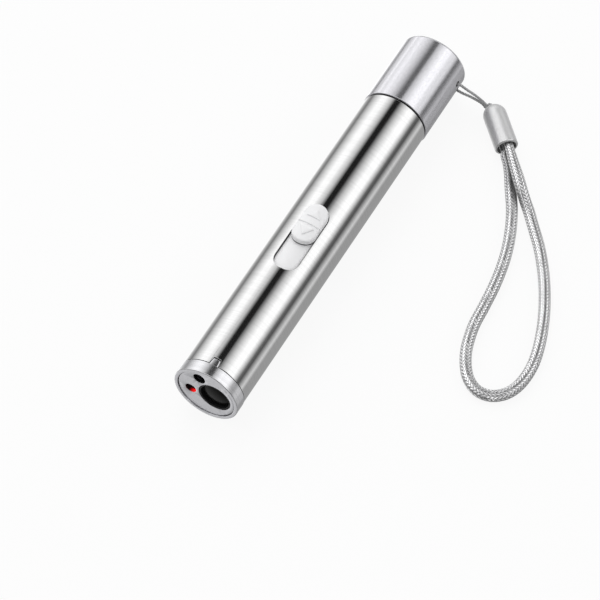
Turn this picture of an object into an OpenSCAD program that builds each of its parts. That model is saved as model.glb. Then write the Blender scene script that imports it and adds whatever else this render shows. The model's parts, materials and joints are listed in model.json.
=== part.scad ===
// Pocket pointer for playing with a cat: a steel barrel with a laser, a torch and an ultraviolet
// lamp in its head, a slide switch on top, and a charging plug under a pull-off tail cap that
// carries a wrist strap. The barrel lies along X with its lamps at +X, its switch at +Z and its
// strap at +Y. Z = 0 is the surface that it lies on. All sizes are in millimetres.

/* [Barrel] */
// Outside diameter of the steel barrel
barrel_d = 16; // [15.6:0.1:18]
// Wall of the steel barrel
barrel_wall = 0.5; // [0.4:0.05:0.7]
// Length of the barrel from the tail collar to the head ring
barrel_len = 83.6; // [80:0.2:100]

/* [Head] */
// Length of the head ring in front of the barrel
head_len = 3.2; // [2.8:0.1:5]
// Wall of the raised rim round the face
rim_wall = 0.9; // [0.6:0.05:1]
// Step of the head ring's outside above the barrel
head_step = 0.1; // [0:0.05:0.3]
// Bevel on the outer front edge of the rim
rim_edge = 0.15; // [0.1:0.05:0.5]
// Depth of the face below the rim
face_recess = 0.25; // [0.2:0.05:0.8]
// Thickness of the face plate
face_thick = 1; // [0.8:0.1:1.4]
// Ledge in the head ring that the face plate seats on
face_ledge = 0.3; // [0.2:0.05:0.5]
// Length of the spigot that goes into the barrel
spigot_len = 5.5; // [5:0.25:7]
// Width of the locating key where it leaves the head ring
key_w = 2.3; // [1.6:0.1:3]
// Width of the locating key at its tip
key_tip_w = 1.7; // [1:0.1:2.4]
// Length of the locating key
key_len = 1.6; // [1:0.1:2.4]
// Gap round the key in its notch
key_gap = 0.15; // [0.05:0.05:0.3]

/* [Lamps] */
// Diameter of the torch opening, as a share of the bore of the head
torch_share = 0.587; // [0.51:0.001:0.6]
// Metal left between the torch opening and the bore of the head
torch_margin = 0.75; // [0.4:0.05:1.2]
// Depth of the torch lens below the face
torch_depth = 0.9; // [0.8:0.1:2]
// Wall of the black cup round the torch
cup_wall = 0.45; // [0.3:0.05:0.7]
// Thickness of the torch lens at its rim
torch_lens_t = 1; // [0.6:0.1:1.6]
// Diameter of the laser opening, as a share of the bore of the head
laser_hole_share = 0.196; // [0.15:0.001:0.23]
// Diameter of the brass laser module, as a share of the bore of the head
laser_share = 0.283; // [0.26:0.001:0.31]
// Length of the brass laser module
laser_len = 5.5; // [4:0.25:6]
// Angle of the laser round the torch
laser_angle = 188.5; // [175:0.5:200]
// Diameter of the ultraviolet lamp's opening, as a share of the bore of the head
uv_hole_share = 0.217; // [0.21:0.001:0.24]
// Diameter of the collar at the foot of the ultraviolet lamp, as a share of the bore of the head
uv_collar_share = 0.275; // [0.25:0.001:0.28]
// Gap between neighbouring lamp bodies
lamp_gap = 0.1; // [0.05:0.05:0.3]

/* [Switch] */
// Width of the switch slot in the barrel
slot_w = 6.1; // [5:0.1:7]
// Length of the switch slot
slot_len = 19.2; // [17:0.1:22]
// Distance from the front of the barrel to the front of the slot
slot_setback = 29.8; // [27:0.1:34]
// Length of the thumb button
button_len = 11.1; // [9:0.1:12]
// Gap between the thumb button and the slot
button_gap = 0.15; // [0.1:0.05:0.4]
// Height of the thumb button above the barrel
button_rise = 0.9; // [0.5:0.05:1.5]
// Height of the marks that stand on the thumb button
mark_rise = 0.12; // [0.05:0.01:0.2]
// Thickness of the plate that slides under the slot
plate_t = 0.9; // [0.7:0.05:1.2]
// How far the plate laps past the edge of the slot
plate_lap = 1; // [0.6:0.1:1.6]
// Height of the switch on its board
switch_h = 4.3; // [3.6:0.1:4.6]

/* [Inside] */
// Thickness of both circuit boards
board_t = 0.8; // [0.6:0.1:1.2]
// Wall of the half-round carrier
carrier_wall = 0.9; // [0.6:0.05:1.2]
// Room between the rechargeable cell and the wires beside it
cell_room = 0.6; // [0.2:0.05:1]
// Length of the rechargeable cell
cell_len = 18; // [15:0.5:20]
// Diameter of the lamp wires
wire_d = 0.6; // [0.4:0.05:0.7]
// Clearance of parts that are pushed together
fit = 0.05; // [0.02:0.01:0.08]
// Clearance of parts that slide
slide_gap = 0.1; // [0.06:0.01:0.2]

/* [Tail] */
// Step of the cap's outside above the barrel
cap_step = 0.2; // [0:0.05:0.6]
// Length of the tail cap
cap_len = 19.4; // [19:0.1:24]
// Wall of the tail cap
cap_wall = 0.8; // [0.6:0.05:0.9]
// Thickness of the closed end of the tail cap
cap_end = 1; // [0.6:0.1:1.4]
// Rounding of the cap's rear edge
cap_edge = 0.8; // [0.3:0.05:1]
// Width of the collar's flange between the barrel and the cap
flange_len = 0.4; // [0.3:0.05:0.8]
// Step of the collar's flange below the barrel
flange_step = 0.2; // [0.1:0.05:0.4]
// Length of the collar's neck inside the cap
neck_len = 2.2; // [1.6:0.1:2.4]
// Depth of the collar inside the barrel
collar_depth = 4; // [3:0.25:6]
// Diameter of the two string eyelets
eyelet_d = 1.4; // [1.1:0.05:1.6]
// Distance between the two string eyelets, which lie side by side round the cap
eyelet_pitch = 2.4; // [2.2:0.1:3]
// Distance from the cap's rear face to the eyelets
eyelet_inset = 4.1; // [3.4:0.1:4.4]

/* [Charging plug] */
// Width of the plug's shell
usb_w = 12; // [11.8:0.1:12.2]
// Height of the plug's shell
usb_h = 4.5; // [4.3:0.1:4.7]
// Length of the plug that stands out of the collar
usb_len = 11.8; // [11:0.1:12]
// Wall of the plug's shell
usb_wall = 0.3; // [0.25:0.05:0.4]

/* [Strap] */
// Diameter of the thin string
string_d = 0.7; // [0.5:0.05:0.8]
// Diameter of the braided cord
cord_d = 2.8; // [2.4:0.1:3]
// Share of the braided cord's diameter that is left where the ferrule grips it
cord_grip = 0.8; // [0.7:0.02:0.82]
// Outside diameter of the ferrule
ferrule_d = 5.6; // [5.4:0.1:6.4]
// Length of the ferrule
ferrule_len = 12; // [10:0.25:15]
// Wall of the ferrule at its mouth
ferrule_wall = 0.5; // [0.3:0.05:0.5]
// Turn of the ferrule from the barrel's direction
ferrule_turn = 45; // [30:1:60]

/* [Hidden] */
$fn = 96;
over = 1; // how far a cutter runs past the face that it opens

// Stations along X, from the middle of the whole length
x_front = (cap_len + flange_len + barrel_len + head_len) / 2;
x_rear = -x_front;
x_head = x_front - head_len;
x_tail = x_head - barrel_len;
x_cap = x_tail - flange_len;
x_neck = x_cap - neck_len;
x_plug = x_neck - usb_len;
x_collar = x_tail + collar_depth;
x_face = x_front - face_recess;
x_face_back = x_face - face_thick;
x_lamps = x_head - spigot_len;
x_carrier = x_lamps - board_t;

// Radii about the barrel's axis, and the height of that axis
barrel_r = barrel_d / 2;
bore_r = barrel_r - barrel_wall;
cap_r = barrel_r + cap_step;
head_r = barrel_r + head_step;
cap_in = cap_r - cap_wall;
neck_r = cap_in - fit;
spigot_r = bore_r - fit;
face_r = head_r - rim_wall;
head_in = face_r - face_ledge;
carrier_r = bore_r - slide_gap;
carrier_in = carrier_r - carrier_wall;
axis_h = cap_r;

// Lamps: the torch sits to one side, the laser beside it, the ultraviolet lamp against both
// the torch and the bore of the head
head_bore = 2 * head_in;
torch_d = torch_share * head_bore;
laser_hole_d = laser_hole_share * head_bore;
laser_d = laser_share * head_bore;
uv_hole_d = uv_hole_share * head_bore;
uv_collar_d = uv_collar_share * head_bore;
torch_y = head_in - torch_margin - torch_d / 2;
cup_r = torch_d / 2 - fit;
cup_bore = cup_r - cup_wall;
lens_seat = 0.3;
led_room = 2.4;
x_cup = x_face - slide_gap;
x_torch_lens = x_face - torch_depth - torch_lens_t;
laser_reach = torch_d / 2 + lamp_gap + laser_d / 2;
laser_yz = [torch_y + laser_reach * cos(laser_angle), laser_reach * sin(laser_angle)];
laser_wall = 0.45;
laser_bore_d = laser_d - 2 * laser_wall;
laser_lip = 0.6;
x_laser = x_face_back - laser_len;
uv_reach = torch_d / 2 + lamp_gap + uv_collar_d / 2;
uv_orbit = head_in - lamp_gap - uv_collar_d / 2;
uv_angle = acos((uv_orbit ^ 2 + torch_y ^ 2 - uv_reach ^ 2) / (2 * uv_orbit * torch_y));
uv_yz = uv_orbit * [cos(uv_angle), sin(uv_angle)];
uv_body_d = uv_hole_d - 2 * fit;
uv_body_len = 4.5;
uv_collar_len = 0.8;
lead_d = 0.45;
lead_pitch = 1.27;

// Switch: the button rests at the rear end of its slot and slides forwards by travel
slot_front = x_head - slot_setback;
slot_rear = slot_front - slot_len;
button_w = slot_w - 2 * button_gap;
button_x = slot_rear + button_gap;
travel = slot_len - button_len - 2 * button_gap;
button_top = barrel_r + button_rise;
lever_x = button_x + button_len / 2;
plate_r = bore_r - slide_gap;
plate_in = plate_r - plate_t;
plate_w = slot_w + 2 * plate_lap;
peg_d = 1.6;
peg_reach = 3.6;
contact_size = [1.6, 3];
lever_l = 2;
lever_w = 1.8;
lever_foot_l = 4.4;
fork_t = 0.8;
fork_w = 3;
fork_drop = 1.5;
switch_wall = 0.4;
switch_w = 5;
contact_t = 0.1;
wiper_t = 0.25;
wiper_l = 3.6;
board_top = board_t / 2;
switch_top = board_top + switch_h;
wiper_z = board_top + contact_t + fit;

// Carrier, cell and boards
front_wall = 1;
tab_t = 0.2;
tab_w = 3;
cell_front = x_carrier - front_wall - tab_t - slide_gap;
cell_rear = cell_front - cell_len;
board_half = carrier_r - carrier_wall / 2;
wire_pitch = wire_d + slide_gap;
wire_rows = 2;
cell_d = 2 * (board_half - wire_rows * wire_pitch + slide_gap / 2 - cell_room);
board_gap = 0.4;
board_front = cell_rear - tab_t - slide_gap - board_gap;
saddle_t = 1.2;
saddle_inset = 3;
screw_d = 1.5;
screw_head_d = 2.8;
screw_head_h = 0.8;
screw_len = 4;
post_d = 3.4;
screw_shares = [0.12, 0.42];
screw_spots = [for (k = screw_shares) x_collar + k * (slot_rear - x_collar)];
chip_gap = 0.65;
chip_len = screw_spots[1] - screw_spots[0] - screw_head_d - 2 * chip_gap;

// Charging plug
usb_in_h = usb_h - 2 * usb_wall;
tongue_top = 0;
contact_h = 0.15;
contact_w = 1;
contact_ys = [-3.5, -1, 1, 3.5];
foot_len = 1.5;
window_setback = 5;

// Strap: the string leaves the cap through one eyelet and comes back through the other; its two
// strands run one above the other in the tip of the ferrule
eyelet_x = x_rear + eyelet_inset;
eyelet_turn = asin(eyelet_pitch / 2 / cap_r);
function eyelet_at(r, s) = [eyelet_x, r * cos(eyelet_turn), axis_h + s * r * sin(eyelet_turn)];
ferrule_r = ferrule_d / 2;
ferrule_bore = ferrule_r - ferrule_wall;
ferrule_tip = [-52.1, 16.1];
string_depth = 5;
string_hole_d = 2.4 * string_d;
strand_lift = 0.56 * string_d;
upper = ferrule_r + strand_lift;
lower = ferrule_r - strand_lift;
cord_sides = 8;
rear_strand = [
    [-48.56, 19.64, upper], [-50.33, 17.87, upper], [-51.89, 16.31, upper], [-52.15, 15.58, 3.2],
    [-51.54, 15.18, 3.1], [-51.22, 14.32, 4.2], [-50.74, 13.17, 5.6], [-50.06, 11.92, 7.2],
    [-49.37, 10.7, 8.6], eyelet_at(cap_r + string_d, 1)
];
front_strand = [
    eyelet_at(cap_r + string_d, -1), [-49.15, 9.9, 6.9], [-49.56, 11.33, 6.4], [-50.29, 12.41, 5.2],
    [-51.22, 13.45, 3.6], [-51.7, 14.21, 2.5], [-51.53, 15.01, 2.15], [-52.18, 15.66, 2.34],
    [-51.89, 16.31, lower], [-50.33, 17.87, lower], [-48.56, 19.64, lower]
];
cord_route = [
    [-48, 20.6, 3.9], [-43.9, 24.8, 3.9], [-41.6, 26.8, 4], [-39.5, 28.6, 4.1], [-37.1, 30.8, 4],
    [-34.8, 33, 3.5], [-33, 35, 2.4], [-31, 37.2, 1.7], [-28.7, 39.3, 1.4], [-23.7, 43.7, 1.4],
    [-18.3, 47.6, 1.4], [-12.7, 50.9, 1.4], [-6.8, 53.7, 1.4], [-0.7, 55.9, 1.4], [5, 57.2, 1.4],
    [10.4, 57.2, 1.4], [14.4, 55.9, 1.4], [16.9, 53.4, 1.4], [17.6, 50.4, 1.4], [16.6, 47.6, 1.4],
    [14, 45, 1.4], [9.3, 42.5, 1.4], [3, 40.9, 1.4], [-3, 40.4, 1.4], [-9.8, 39.7, 1.4],
    [-16.7, 38.4, 1.4], [-23.1, 36.4, 1.4], [-29.2, 33.7, 1.4], [-34.9, 30.3, 1.4],
    [-37.8, 28.5, 1.4], [-40.4, 26.6, 1.5], [-42, 25.1, 1.6], [-43.4, 24.3, 1.7], [-47.5, 20.1, 1.7]
];

// Shapes that repeat
module on_axis() {
    translate([0, 0, axis_h]) children();
}

module rod(x0, x1, d, yz = [0, 0]) {
    translate([x0, yz[0], yz[1]]) rotate([0, 90, 0]) cylinder(d = d, h = x1 - x0);
}

module block(x0, x1, y0, y1, z0, z1) {
    translate([x0, y0, z0]) cube([x1 - x0, y1 - y0, z1 - z0]);
}

module bar(x0, x1, w, z0, z1) {
    block(x0, x1, -w / 2, w / 2, z0, z1);
}

module stadium(x0, x1, w, z0, z1) {
    translate([0, 0, z0]) linear_extrude(z1 - z0) {
        translate([x0 + w / 2, -w / 2]) square([x1 - x0 - w, w]);
        for (x = [x0 + w / 2, x1 - w / 2]) translate([x, 0]) circle(d = w);
    }
}

// A profile of [radius, distance along X] points, turned about an axis parallel to the barrel's
module turned(x0, yz = [0, 0]) {
    translate([x0, yz[0], yz[1]]) rotate([0, 90, 0]) rotate_extrude() children();
}

module key_outline(grow) {
    half = key_w / 2 + grow;
    tip = key_tip_w / 2 + grow;
    end = x_head - key_len - grow;
    side = [[x_head + over, half], [x_head, half], [end, tip]];
    linear_extrude(barrel_d) polygon(concat(side, [for (k = [2:-1:0]) [side[k][0], -side[k][1]]]));
}

// A round tube of varying radius along a list of points, as one closed skin of triangles; guide
// is a direction that the tube never follows
function unit(v) = v / norm(v);
function heading(path, i) = unit(path[min(i + 1, len(path) - 1)] - path[max(i - 1, 0)]);
function side_way(path, i, guide) = unit(cross(guide, heading(path, i)));
function ring(path, i, r, guide) =
    let (side = side_way(path, i, guide), up = cross(heading(path, i), side))
    [for (k = [0:cord_sides - 1])
        let (a = 360 * k / cord_sides) path[i] + r * (cos(a) * side + sin(a) * up)];
function wall_faces(i) = [
    for (k = [0:cord_sides - 1])
        let (a = i * cord_sides + k, b = i * cord_sides + (k + 1) % cord_sides)
        each [[a, a + cord_sides, b], [b, a + cord_sides, b + cord_sides]]
];
function end_faces(first, flip) = [
    for (k = [1:cord_sides - 2])
        flip ? [first, first + k + 1, first + k] : [first, first + k, first + k + 1]
];

module tube(path, radii, guide = [0, 0, 1]) {
    last = len(path) - 1;
    polyhedron(
        points = [for (i = [0:last]) each ring(path, i, radii[i], guide)],
        faces = concat(
            end_faces(0, false),
            [for (i = [0:last - 1]) each wall_faces(i)],
            end_faces(last * cord_sides, true)
        )
    );
}

// Barrel and head
module barrel_tube() {
    color("Silver") on_axis() difference() {
        rod(x_tail, x_head, barrel_d);
        rod(x_tail - over, x_head + over, 2 * bore_r);
        stadium(slot_rear, slot_front, slot_w, 0, barrel_d);
        key_outline(key_gap);
    }
}

module head_ring() {
    color("LightGray") on_axis() {
        turned(x_head) polygon([
            [head_in, -spigot_len], [spigot_r, -spigot_len], [spigot_r, 0], [head_r, 0],
            [head_r, head_len - rim_edge], [head_r - rim_edge, head_len], [face_r, head_len],
            [face_r, x_face_back - x_head], [head_in, x_face_back - x_head]
        ]);
        intersection() {
            key_outline(0);
            difference() {
                rod(x_head - key_len - over, x_head + over / 2, barrel_d);
                rod(x_head - key_len - 2 * over, x_head + over, 2 * head_in);
            }
        }
    }
}

module face_plate() {
    color("DarkGray") on_axis() difference() {
        rod(x_face_back, x_face, 2 * (face_r - fit));
        rod(x_face_back - over, x_face + over, torch_d, [torch_y, 0]);
        rod(x_face_back - over, x_face + over, laser_hole_d, laser_yz);
        rod(x_face_back - over, x_face + over, uv_hole_d, uv_yz);
    }
}

// Lamps
module torch_cup() {
    seat = x_torch_lens - x_lamps;
    end = x_cup - x_lamps;
    color("Black") on_axis() turned(x_lamps, [torch_y, 0]) polygon([
        [led_room, 0], [cup_r, 0], [cup_r, end],
        [cup_bore, end], [cup_bore, seat], [cup_bore - lens_seat, seat]
    ]);
}

module torch_lens() {
    crown = 0.5;
    lens_r = cup_bore - fit;
    ball = (lens_r ^ 2 + crown ^ 2) / (2 * crown);
    color("LightSlateGray") on_axis() intersection() {
        rod(x_torch_lens, x_torch_lens + torch_lens_t + crown, 2 * lens_r, [torch_y, 0]);
        translate([x_torch_lens + torch_lens_t + crown - ball, torch_y, 0]) sphere(r = ball);
    }
}

module torch_led() {
    package = [0.8, 3.4, 2.8];
    glow_d = 2.2;
    glow_h = 0.3;
    color("Gold") on_axis() {
        translate([x_lamps, torch_y - package[1] / 2, -package[2] / 2]) cube(package);
        rod(x_lamps, x_lamps + package[0] + glow_h, glow_d, [torch_y, 0]);
    }
}

module uv_led() {
    tip = x_face - slide_gap;
    foot = tip - uv_body_len;
    color("MediumPurple") on_axis() {
        translate([tip - uv_body_d / 2, uv_yz[0], uv_yz[1]]) sphere(d = uv_body_d);
        rod(foot, tip - uv_body_d / 2, uv_body_d, uv_yz);
        rod(foot, foot + uv_collar_len, uv_collar_d, uv_yz);
        for (s = [-1, 1]) rod(x_lamps, foot + over / 2, lead_d, uv_yz + [s * lead_pitch / 2, 0]);
    }
}

module laser_barrel() {
    bore = laser_bore_d / 2;
    mouth = laser_hole_d / 2 - lens_seat;
    step = laser_len - laser_lip;
    color("Goldenrod") on_axis() turned(x_laser, laser_yz) polygon([
        [bore, 0], [laser_d / 2, 0], [laser_d / 2, laser_len],
        [mouth, laser_len], [mouth, step], [bore, step]
    ]);
}

module laser_lens() {
    thick = 1;
    crown = 0.33;
    lens_r = laser_bore_d / 2 - fit;
    ball = (lens_r ^ 2 + crown ^ 2) / (2 * crown);
    front = x_face_back - laser_lip;
    color("LightBlue") on_axis() intersection() {
        rod(front - thick, front, 2 * lens_r, laser_yz);
        translate([front - ball, laser_yz[0], laser_yz[1]]) sphere(r = ball);
    }
}

module laser_diode() {
    can_len = 2;
    base_t = 0.6;
    base_lap = 0.3;
    can_d = laser_bore_d - 2 * base_lap;
    color("Silver") on_axis() {
        rod(x_laser, x_laser + can_len, can_d, laser_yz);
        rod(x_laser, x_laser + base_t, laser_bore_d - 2 * fit, laser_yz);
        for (s = [-1, 1])
            rod(x_lamps, x_laser + base_t / 2, lead_d, laser_yz + [s * lead_pitch / 2, 0]);
    }
}

module lamp_board() {
    color("SeaGreen") on_axis() rod(x_carrier, x_lamps, 2 * (bore_r - slide_gap));
}

// Carrier, boards and cell
module carrier() {
    color("DimGray") on_axis() difference() {
        intersection() {
            rod(x_collar, x_carrier, 2 * carrier_r);
            bar(x_collar - over, x_carrier + over, barrel_d, -barrel_r, -board_top);
            union() {
                difference() {
                    rod(x_collar - over, x_carrier + over, barrel_d);
                    rod(x_collar - 2 * over, x_carrier + 2 * over, 2 * carrier_in);
                }
                rod(x_carrier - front_wall, x_carrier + over, barrel_d);
                for (x = [cell_rear + saddle_inset, cell_front - saddle_inset - saddle_t])
                    rod(x, x + saddle_t, barrel_d);
                for (x = screw_spots) translate([x, 0, -barrel_r]) cylinder(d = post_d, h = barrel_r);
            }
        }
        rod(cell_rear - over, x_carrier - front_wall, cell_d + 2 * fit);
        for (x = screw_spots)
            translate([x, 0, -screw_len]) cylinder(d = screw_d + 2 * fit, h = screw_len + over);
    }
}

module main_board() {
    color("SeaGreen") on_axis() difference() {
        bar(x_collar, board_front, 2 * board_half, -board_top, board_top);
        for (x = screw_spots)
            translate([x, 0, -over]) cylinder(d = screw_d + 2 * slide_gap, h = 2 * over);
    }
}

module board_chips() {
    chip_w = 4;
    chip_h = 1.5;
    part_l = 2;
    part_w = 1.25;
    part_h = 0.8;
    x_mid = (screw_spots[0] + screw_spots[1]) / 2;
    row_y = (chip_w / 2 + board_half) / 2;
    color("DimGray") on_axis() translate([x_mid, 0, board_top]) {
        bar(-chip_len / 2, chip_len / 2, chip_w, 0, chip_h);
        for (k = [-1:1], s = [-1, 1]) translate([k * chip_len / 2, s * row_y, 0])
            bar(-part_l / 2, part_l / 2, part_w, 0, part_h);
    }
}

module board_screws() {
    color("Silver") on_axis() for (x = screw_spots) translate([x, 0, 0]) {
        translate([0, 0, board_top]) cylinder(d = screw_head_d, h = screw_head_h);
        translate([0, 0, board_top - screw_len]) cylinder(d = screw_d, h = screw_len + over / 2);
    }
}

module cell() {
    edge = 0.4;
    color("SteelBlue") on_axis() turned(cell_rear) polygon([
        [0, 0], [cell_d / 2 - edge, 0], [cell_d / 2, edge], [cell_d / 2, cell_len - edge],
        [cell_d / 2 - edge, cell_len], [0, cell_len]
    ]);
}

module cell_tabs() {
    rise = 3.2;
    lap = 3;
    color("Silver") on_axis() {
        bar(cell_rear - tab_t, cell_rear, tab_w, board_top, rise);
        bar(board_front - lap, cell_rear, tab_w, board_top, board_top + tab_t);
        bar(cell_front, cell_front + tab_t, tab_w, board_top, rise + tab_t);
        bar(cell_front, x_carrier, tab_w, rise, rise + tab_t);
    }
}

module lamp_wires() {
    lap = 3;
    color("Crimson") on_axis() for (k = [1:wire_rows], s = [-1, 1])
        rod(
            board_front - lap, x_carrier, wire_d,
            [s * (board_half - (k - 1 / 2) * wire_pitch), board_top + wire_d / 2]
        );
}

// Switch
module switch_housing() {
    reach = lever_foot_l / 2 + slide_gap;
    x0 = lever_x - reach;
    x1 = lever_x + travel + reach;
    color("Silver") on_axis() difference() {
        bar(x0 - switch_wall, x1 + switch_wall, switch_w, board_top, switch_top);
        bar(x0, x1, switch_w - 2 * switch_wall, board_top - over, switch_top - switch_wall);
        bar(
            lever_x - lever_l / 2 - slide_gap, lever_x + travel + lever_l / 2 + slide_gap,
            lever_w + 2 * slide_gap, board_top, switch_top + over
        );
    }
}

module switch_contacts() {
    last = 3;
    half = contact_size[0] / 2;
    color("Goldenrod") on_axis() for (k = [0:last]) translate([lever_x + k * travel / last, 0, 0])
        bar(-half, half, contact_size[1], board_top, board_top + contact_t);
}

module switch_wiper() {
    color("Goldenrod") on_axis() translate([lever_x, 0, 0])
        bar(-wiper_l / 2, wiper_l / 2, switch_w - 4 * switch_wall, wiper_z, wiper_z + wiper_t);
}

module switch_lever() {
    color("Black") on_axis() {
        bar(
            lever_x - lever_foot_l / 2, lever_x + lever_foot_l / 2,
            switch_w - 2 * switch_wall - 2 * slide_gap,
            wiper_z + wiper_t, switch_top - switch_wall - slide_gap
        );
        translate([lever_x, 0, 0])
            bar(-lever_l / 2, lever_l / 2, lever_w, board_top + switch_h / 2, plate_in - slide_gap);
    }
}

module slider_plate() {
    x0 = slot_rear - plate_lap - travel;
    x1 = slot_front + plate_lap;
    color("WhiteSmoke") on_axis() {
        difference() {
            intersection() {
                rod(x0, x1, 2 * plate_r);
                bar(x0 - over, x1 + over, plate_w, 0, barrel_r);
            }
            rod(x0 - over, x1 + over, 2 * plate_in);
            for (s = [-1, 1])
                translate([lever_x + s * peg_reach, 0, 0]) cylinder(d = peg_d + 2 * fit, h = barrel_r);
        }
        for (s = [-1, 1]) translate([lever_x + s * (lever_l / 2 + slide_gap + fork_t / 2), 0, 0])
            bar(-fork_t / 2, fork_t / 2, fork_w, plate_in - fork_drop, plate_in + plate_t / 3);
    }
}

module button_marks() {
    line = 0.45;
    arrow_w = 3.6;
    arrow_l = 2.6;
    rear_gap = 1.85;
    front_gap = 0.95;
    x_mid = lever_x + line;
    translate([x_mid, 0, 0]) bar(-line / 2, line / 2, button_w - line, 0, barrel_d);
    translate([x_mid - rear_gap, 0, 0]) linear_extrude(barrel_d)
        polygon([[0, arrow_w / 2], [0, -arrow_w / 2], [-arrow_l, 0]]);
    translate([x_mid + front_gap, 0, 0]) linear_extrude(barrel_d)
        polygon([[0, arrow_w / 2], [0, -arrow_w / 2], [arrow_l, 0]]);
}

module thumb_button() {
    x1 = button_x + button_len;
    color("WhiteSmoke") on_axis() {
        difference() {
            union() {
                intersection() {
                    stadium(button_x, x1, button_w, 0, barrel_d);
                    rod(button_x - over, x1 + over, 2 * button_top);
                }
                intersection() {
                    button_marks();
                    rod(button_x - over, x1 + over, 2 * (button_top + mark_rise));
                }
            }
            rod(button_x - 2 * over, x1 + 2 * over, 2 * (plate_r + fit));
        }
        for (s = [-1, 1]) translate([lever_x + s * peg_reach, 0, plate_in])
            cylinder(d = peg_d, h = barrel_r - plate_in);
    }
}

// Tail
module tail_collar() {
    color("Black") on_axis() difference() {
        union() {
            rod(x_tail - flange_len / 2, x_collar, 2 * (bore_r - fit));
            rod(x_cap, x_tail, 2 * (barrel_r - flange_step));
            rod(x_neck, x_cap + flange_len / 2, 2 * neck_r);
        }
        bar(x_neck - over, x_collar + over, usb_w + 2 * fit, -usb_h / 2 - fit, usb_h / 2 + fit);
    }
}

module usb_shell() {
    window = [2.5, 2];
    window_y = 2.3;
    color("Silver") on_axis() difference() {
        bar(x_plug, x_collar, usb_w, -usb_h / 2, usb_h / 2);
        bar(x_plug - over, x_collar + over, usb_w - 2 * usb_wall, -usb_in_h / 2, usb_in_h / 2);
        for (s = [-1, 1]) translate([x_plug + window_setback, s * window_y, 0])
            bar(0, window[0], window[1], -usb_h, usb_h);
    }
}

module contact_strips(grow) {
    for (y = contact_ys) translate([0, y, 0]) {
        w = contact_w + 2 * grow;
        bar(x_plug + over, x_collar, w, tongue_top, tongue_top + contact_h + grow);
        bar(x_collar - contact_h, x_collar, w, tongue_top, board_top + contact_h + grow);
        bar(x_collar - contact_h, x_collar + foot_len, w, board_top, board_top + contact_h);
    }
}

module usb_tongue() {
    set_back = 0.4;
    stop_len = 3;
    half = usb_w / 2 - usb_wall - fit;
    color("White") on_axis() difference() {
        union() {
            bar(x_plug + set_back, x_collar, 2 * half, fit - usb_in_h / 2, tongue_top);
            bar(x_neck, x_neck + stop_len, 2 * half, fit - usb_in_h / 2, usb_in_h / 2 - fit);
        }
        contact_strips(fit);
    }
}

module usb_contacts() {
    color("Goldenrod") on_axis() contact_strips(0);
}

module rear_cap() {
    color("LightGray") on_axis() difference() {
        turned(x_rear) union() {
            square([cap_r - cap_edge, cap_len]);
            translate([0, cap_edge]) square([cap_r, cap_len - cap_edge]);
            translate([cap_r - cap_edge, cap_edge]) circle(r = cap_edge);
        }
        rod(x_rear + cap_end, x_cap + over, 2 * cap_in);
        for (s = [-1, 1]) translate([eyelet_x, 0, 0])
            rotate([s * eyelet_turn - 90, 0, 0]) cylinder(d = eyelet_d, h = cap_r + over);
    }
}

// Strap
module lanyard_string() {
    turn_r = cap_in * sin(eyelet_turn);
    turn_y = cap_in * cos(eyelet_turn);
    turn = [for (a = [0:30:180]) [eyelet_x, turn_y - turn_r * sin(a), axis_h + turn_r * cos(a)]];
    path = concat(rear_strand, turn, front_strand);
    color("DarkGray") tube(path, [for (p = path) string_d / 2], [1, 0, 0]);
}

module cord_ferrule() {
    color("Gray") translate([ferrule_tip[0], ferrule_tip[1], ferrule_r]) rotate([0, 90, ferrule_turn])
        difference() {
            translate([0, 0, ferrule_r]) {
                sphere(r = ferrule_r);
                cylinder(r = ferrule_r, h = ferrule_len - ferrule_r);
            }
            translate([0, 0, string_depth - over]) cylinder(r = ferrule_bore, h = ferrule_len);
            translate([0, 0, -over]) cylinder(d = string_hole_d, h = string_depth + over);
        }
}

module wrist_cord() {
    last = len(cord_route) - 1;
    ease = 3;
    color("Gainsboro") tube(cord_route, [
        for (i = [0:last])
            let (from_end = max(0, min(i, last - i) - 1))
            cord_d / 2 * min(1, cord_grip + (1 - cord_grip) * from_end / ease)
    ]);
}

barrel_tube();
head_ring();
face_plate();
torch_cup();
torch_lens();
torch_led();
uv_led();
laser_barrel();
laser_lens();
laser_diode();
lamp_board();
carrier();
main_board();
board_chips();
board_screws();
switch_housing();
switch_contacts();
switch_wiper();
switch_lever();
slider_plate();
thumb_button();
cell();
cell_tabs();
lamp_wires();
tail_collar();
usb_shell();
usb_tongue();
usb_contacts();
rear_cap();
lanyard_string();
cord_ferrule();
wrist_cord();
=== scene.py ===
import json
from math import asin, ceil, cos, pi, radians, sin, sqrt, tan, tau

import bmesh
import bpy
from bpy.props import FloatProperty, FloatVectorProperty, IntProperty, PointerProperty
from mathutils import Matrix, Vector
from mathutils.geometry import interpolate_bezier
from mathutils.kdtree import KDTree


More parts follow.
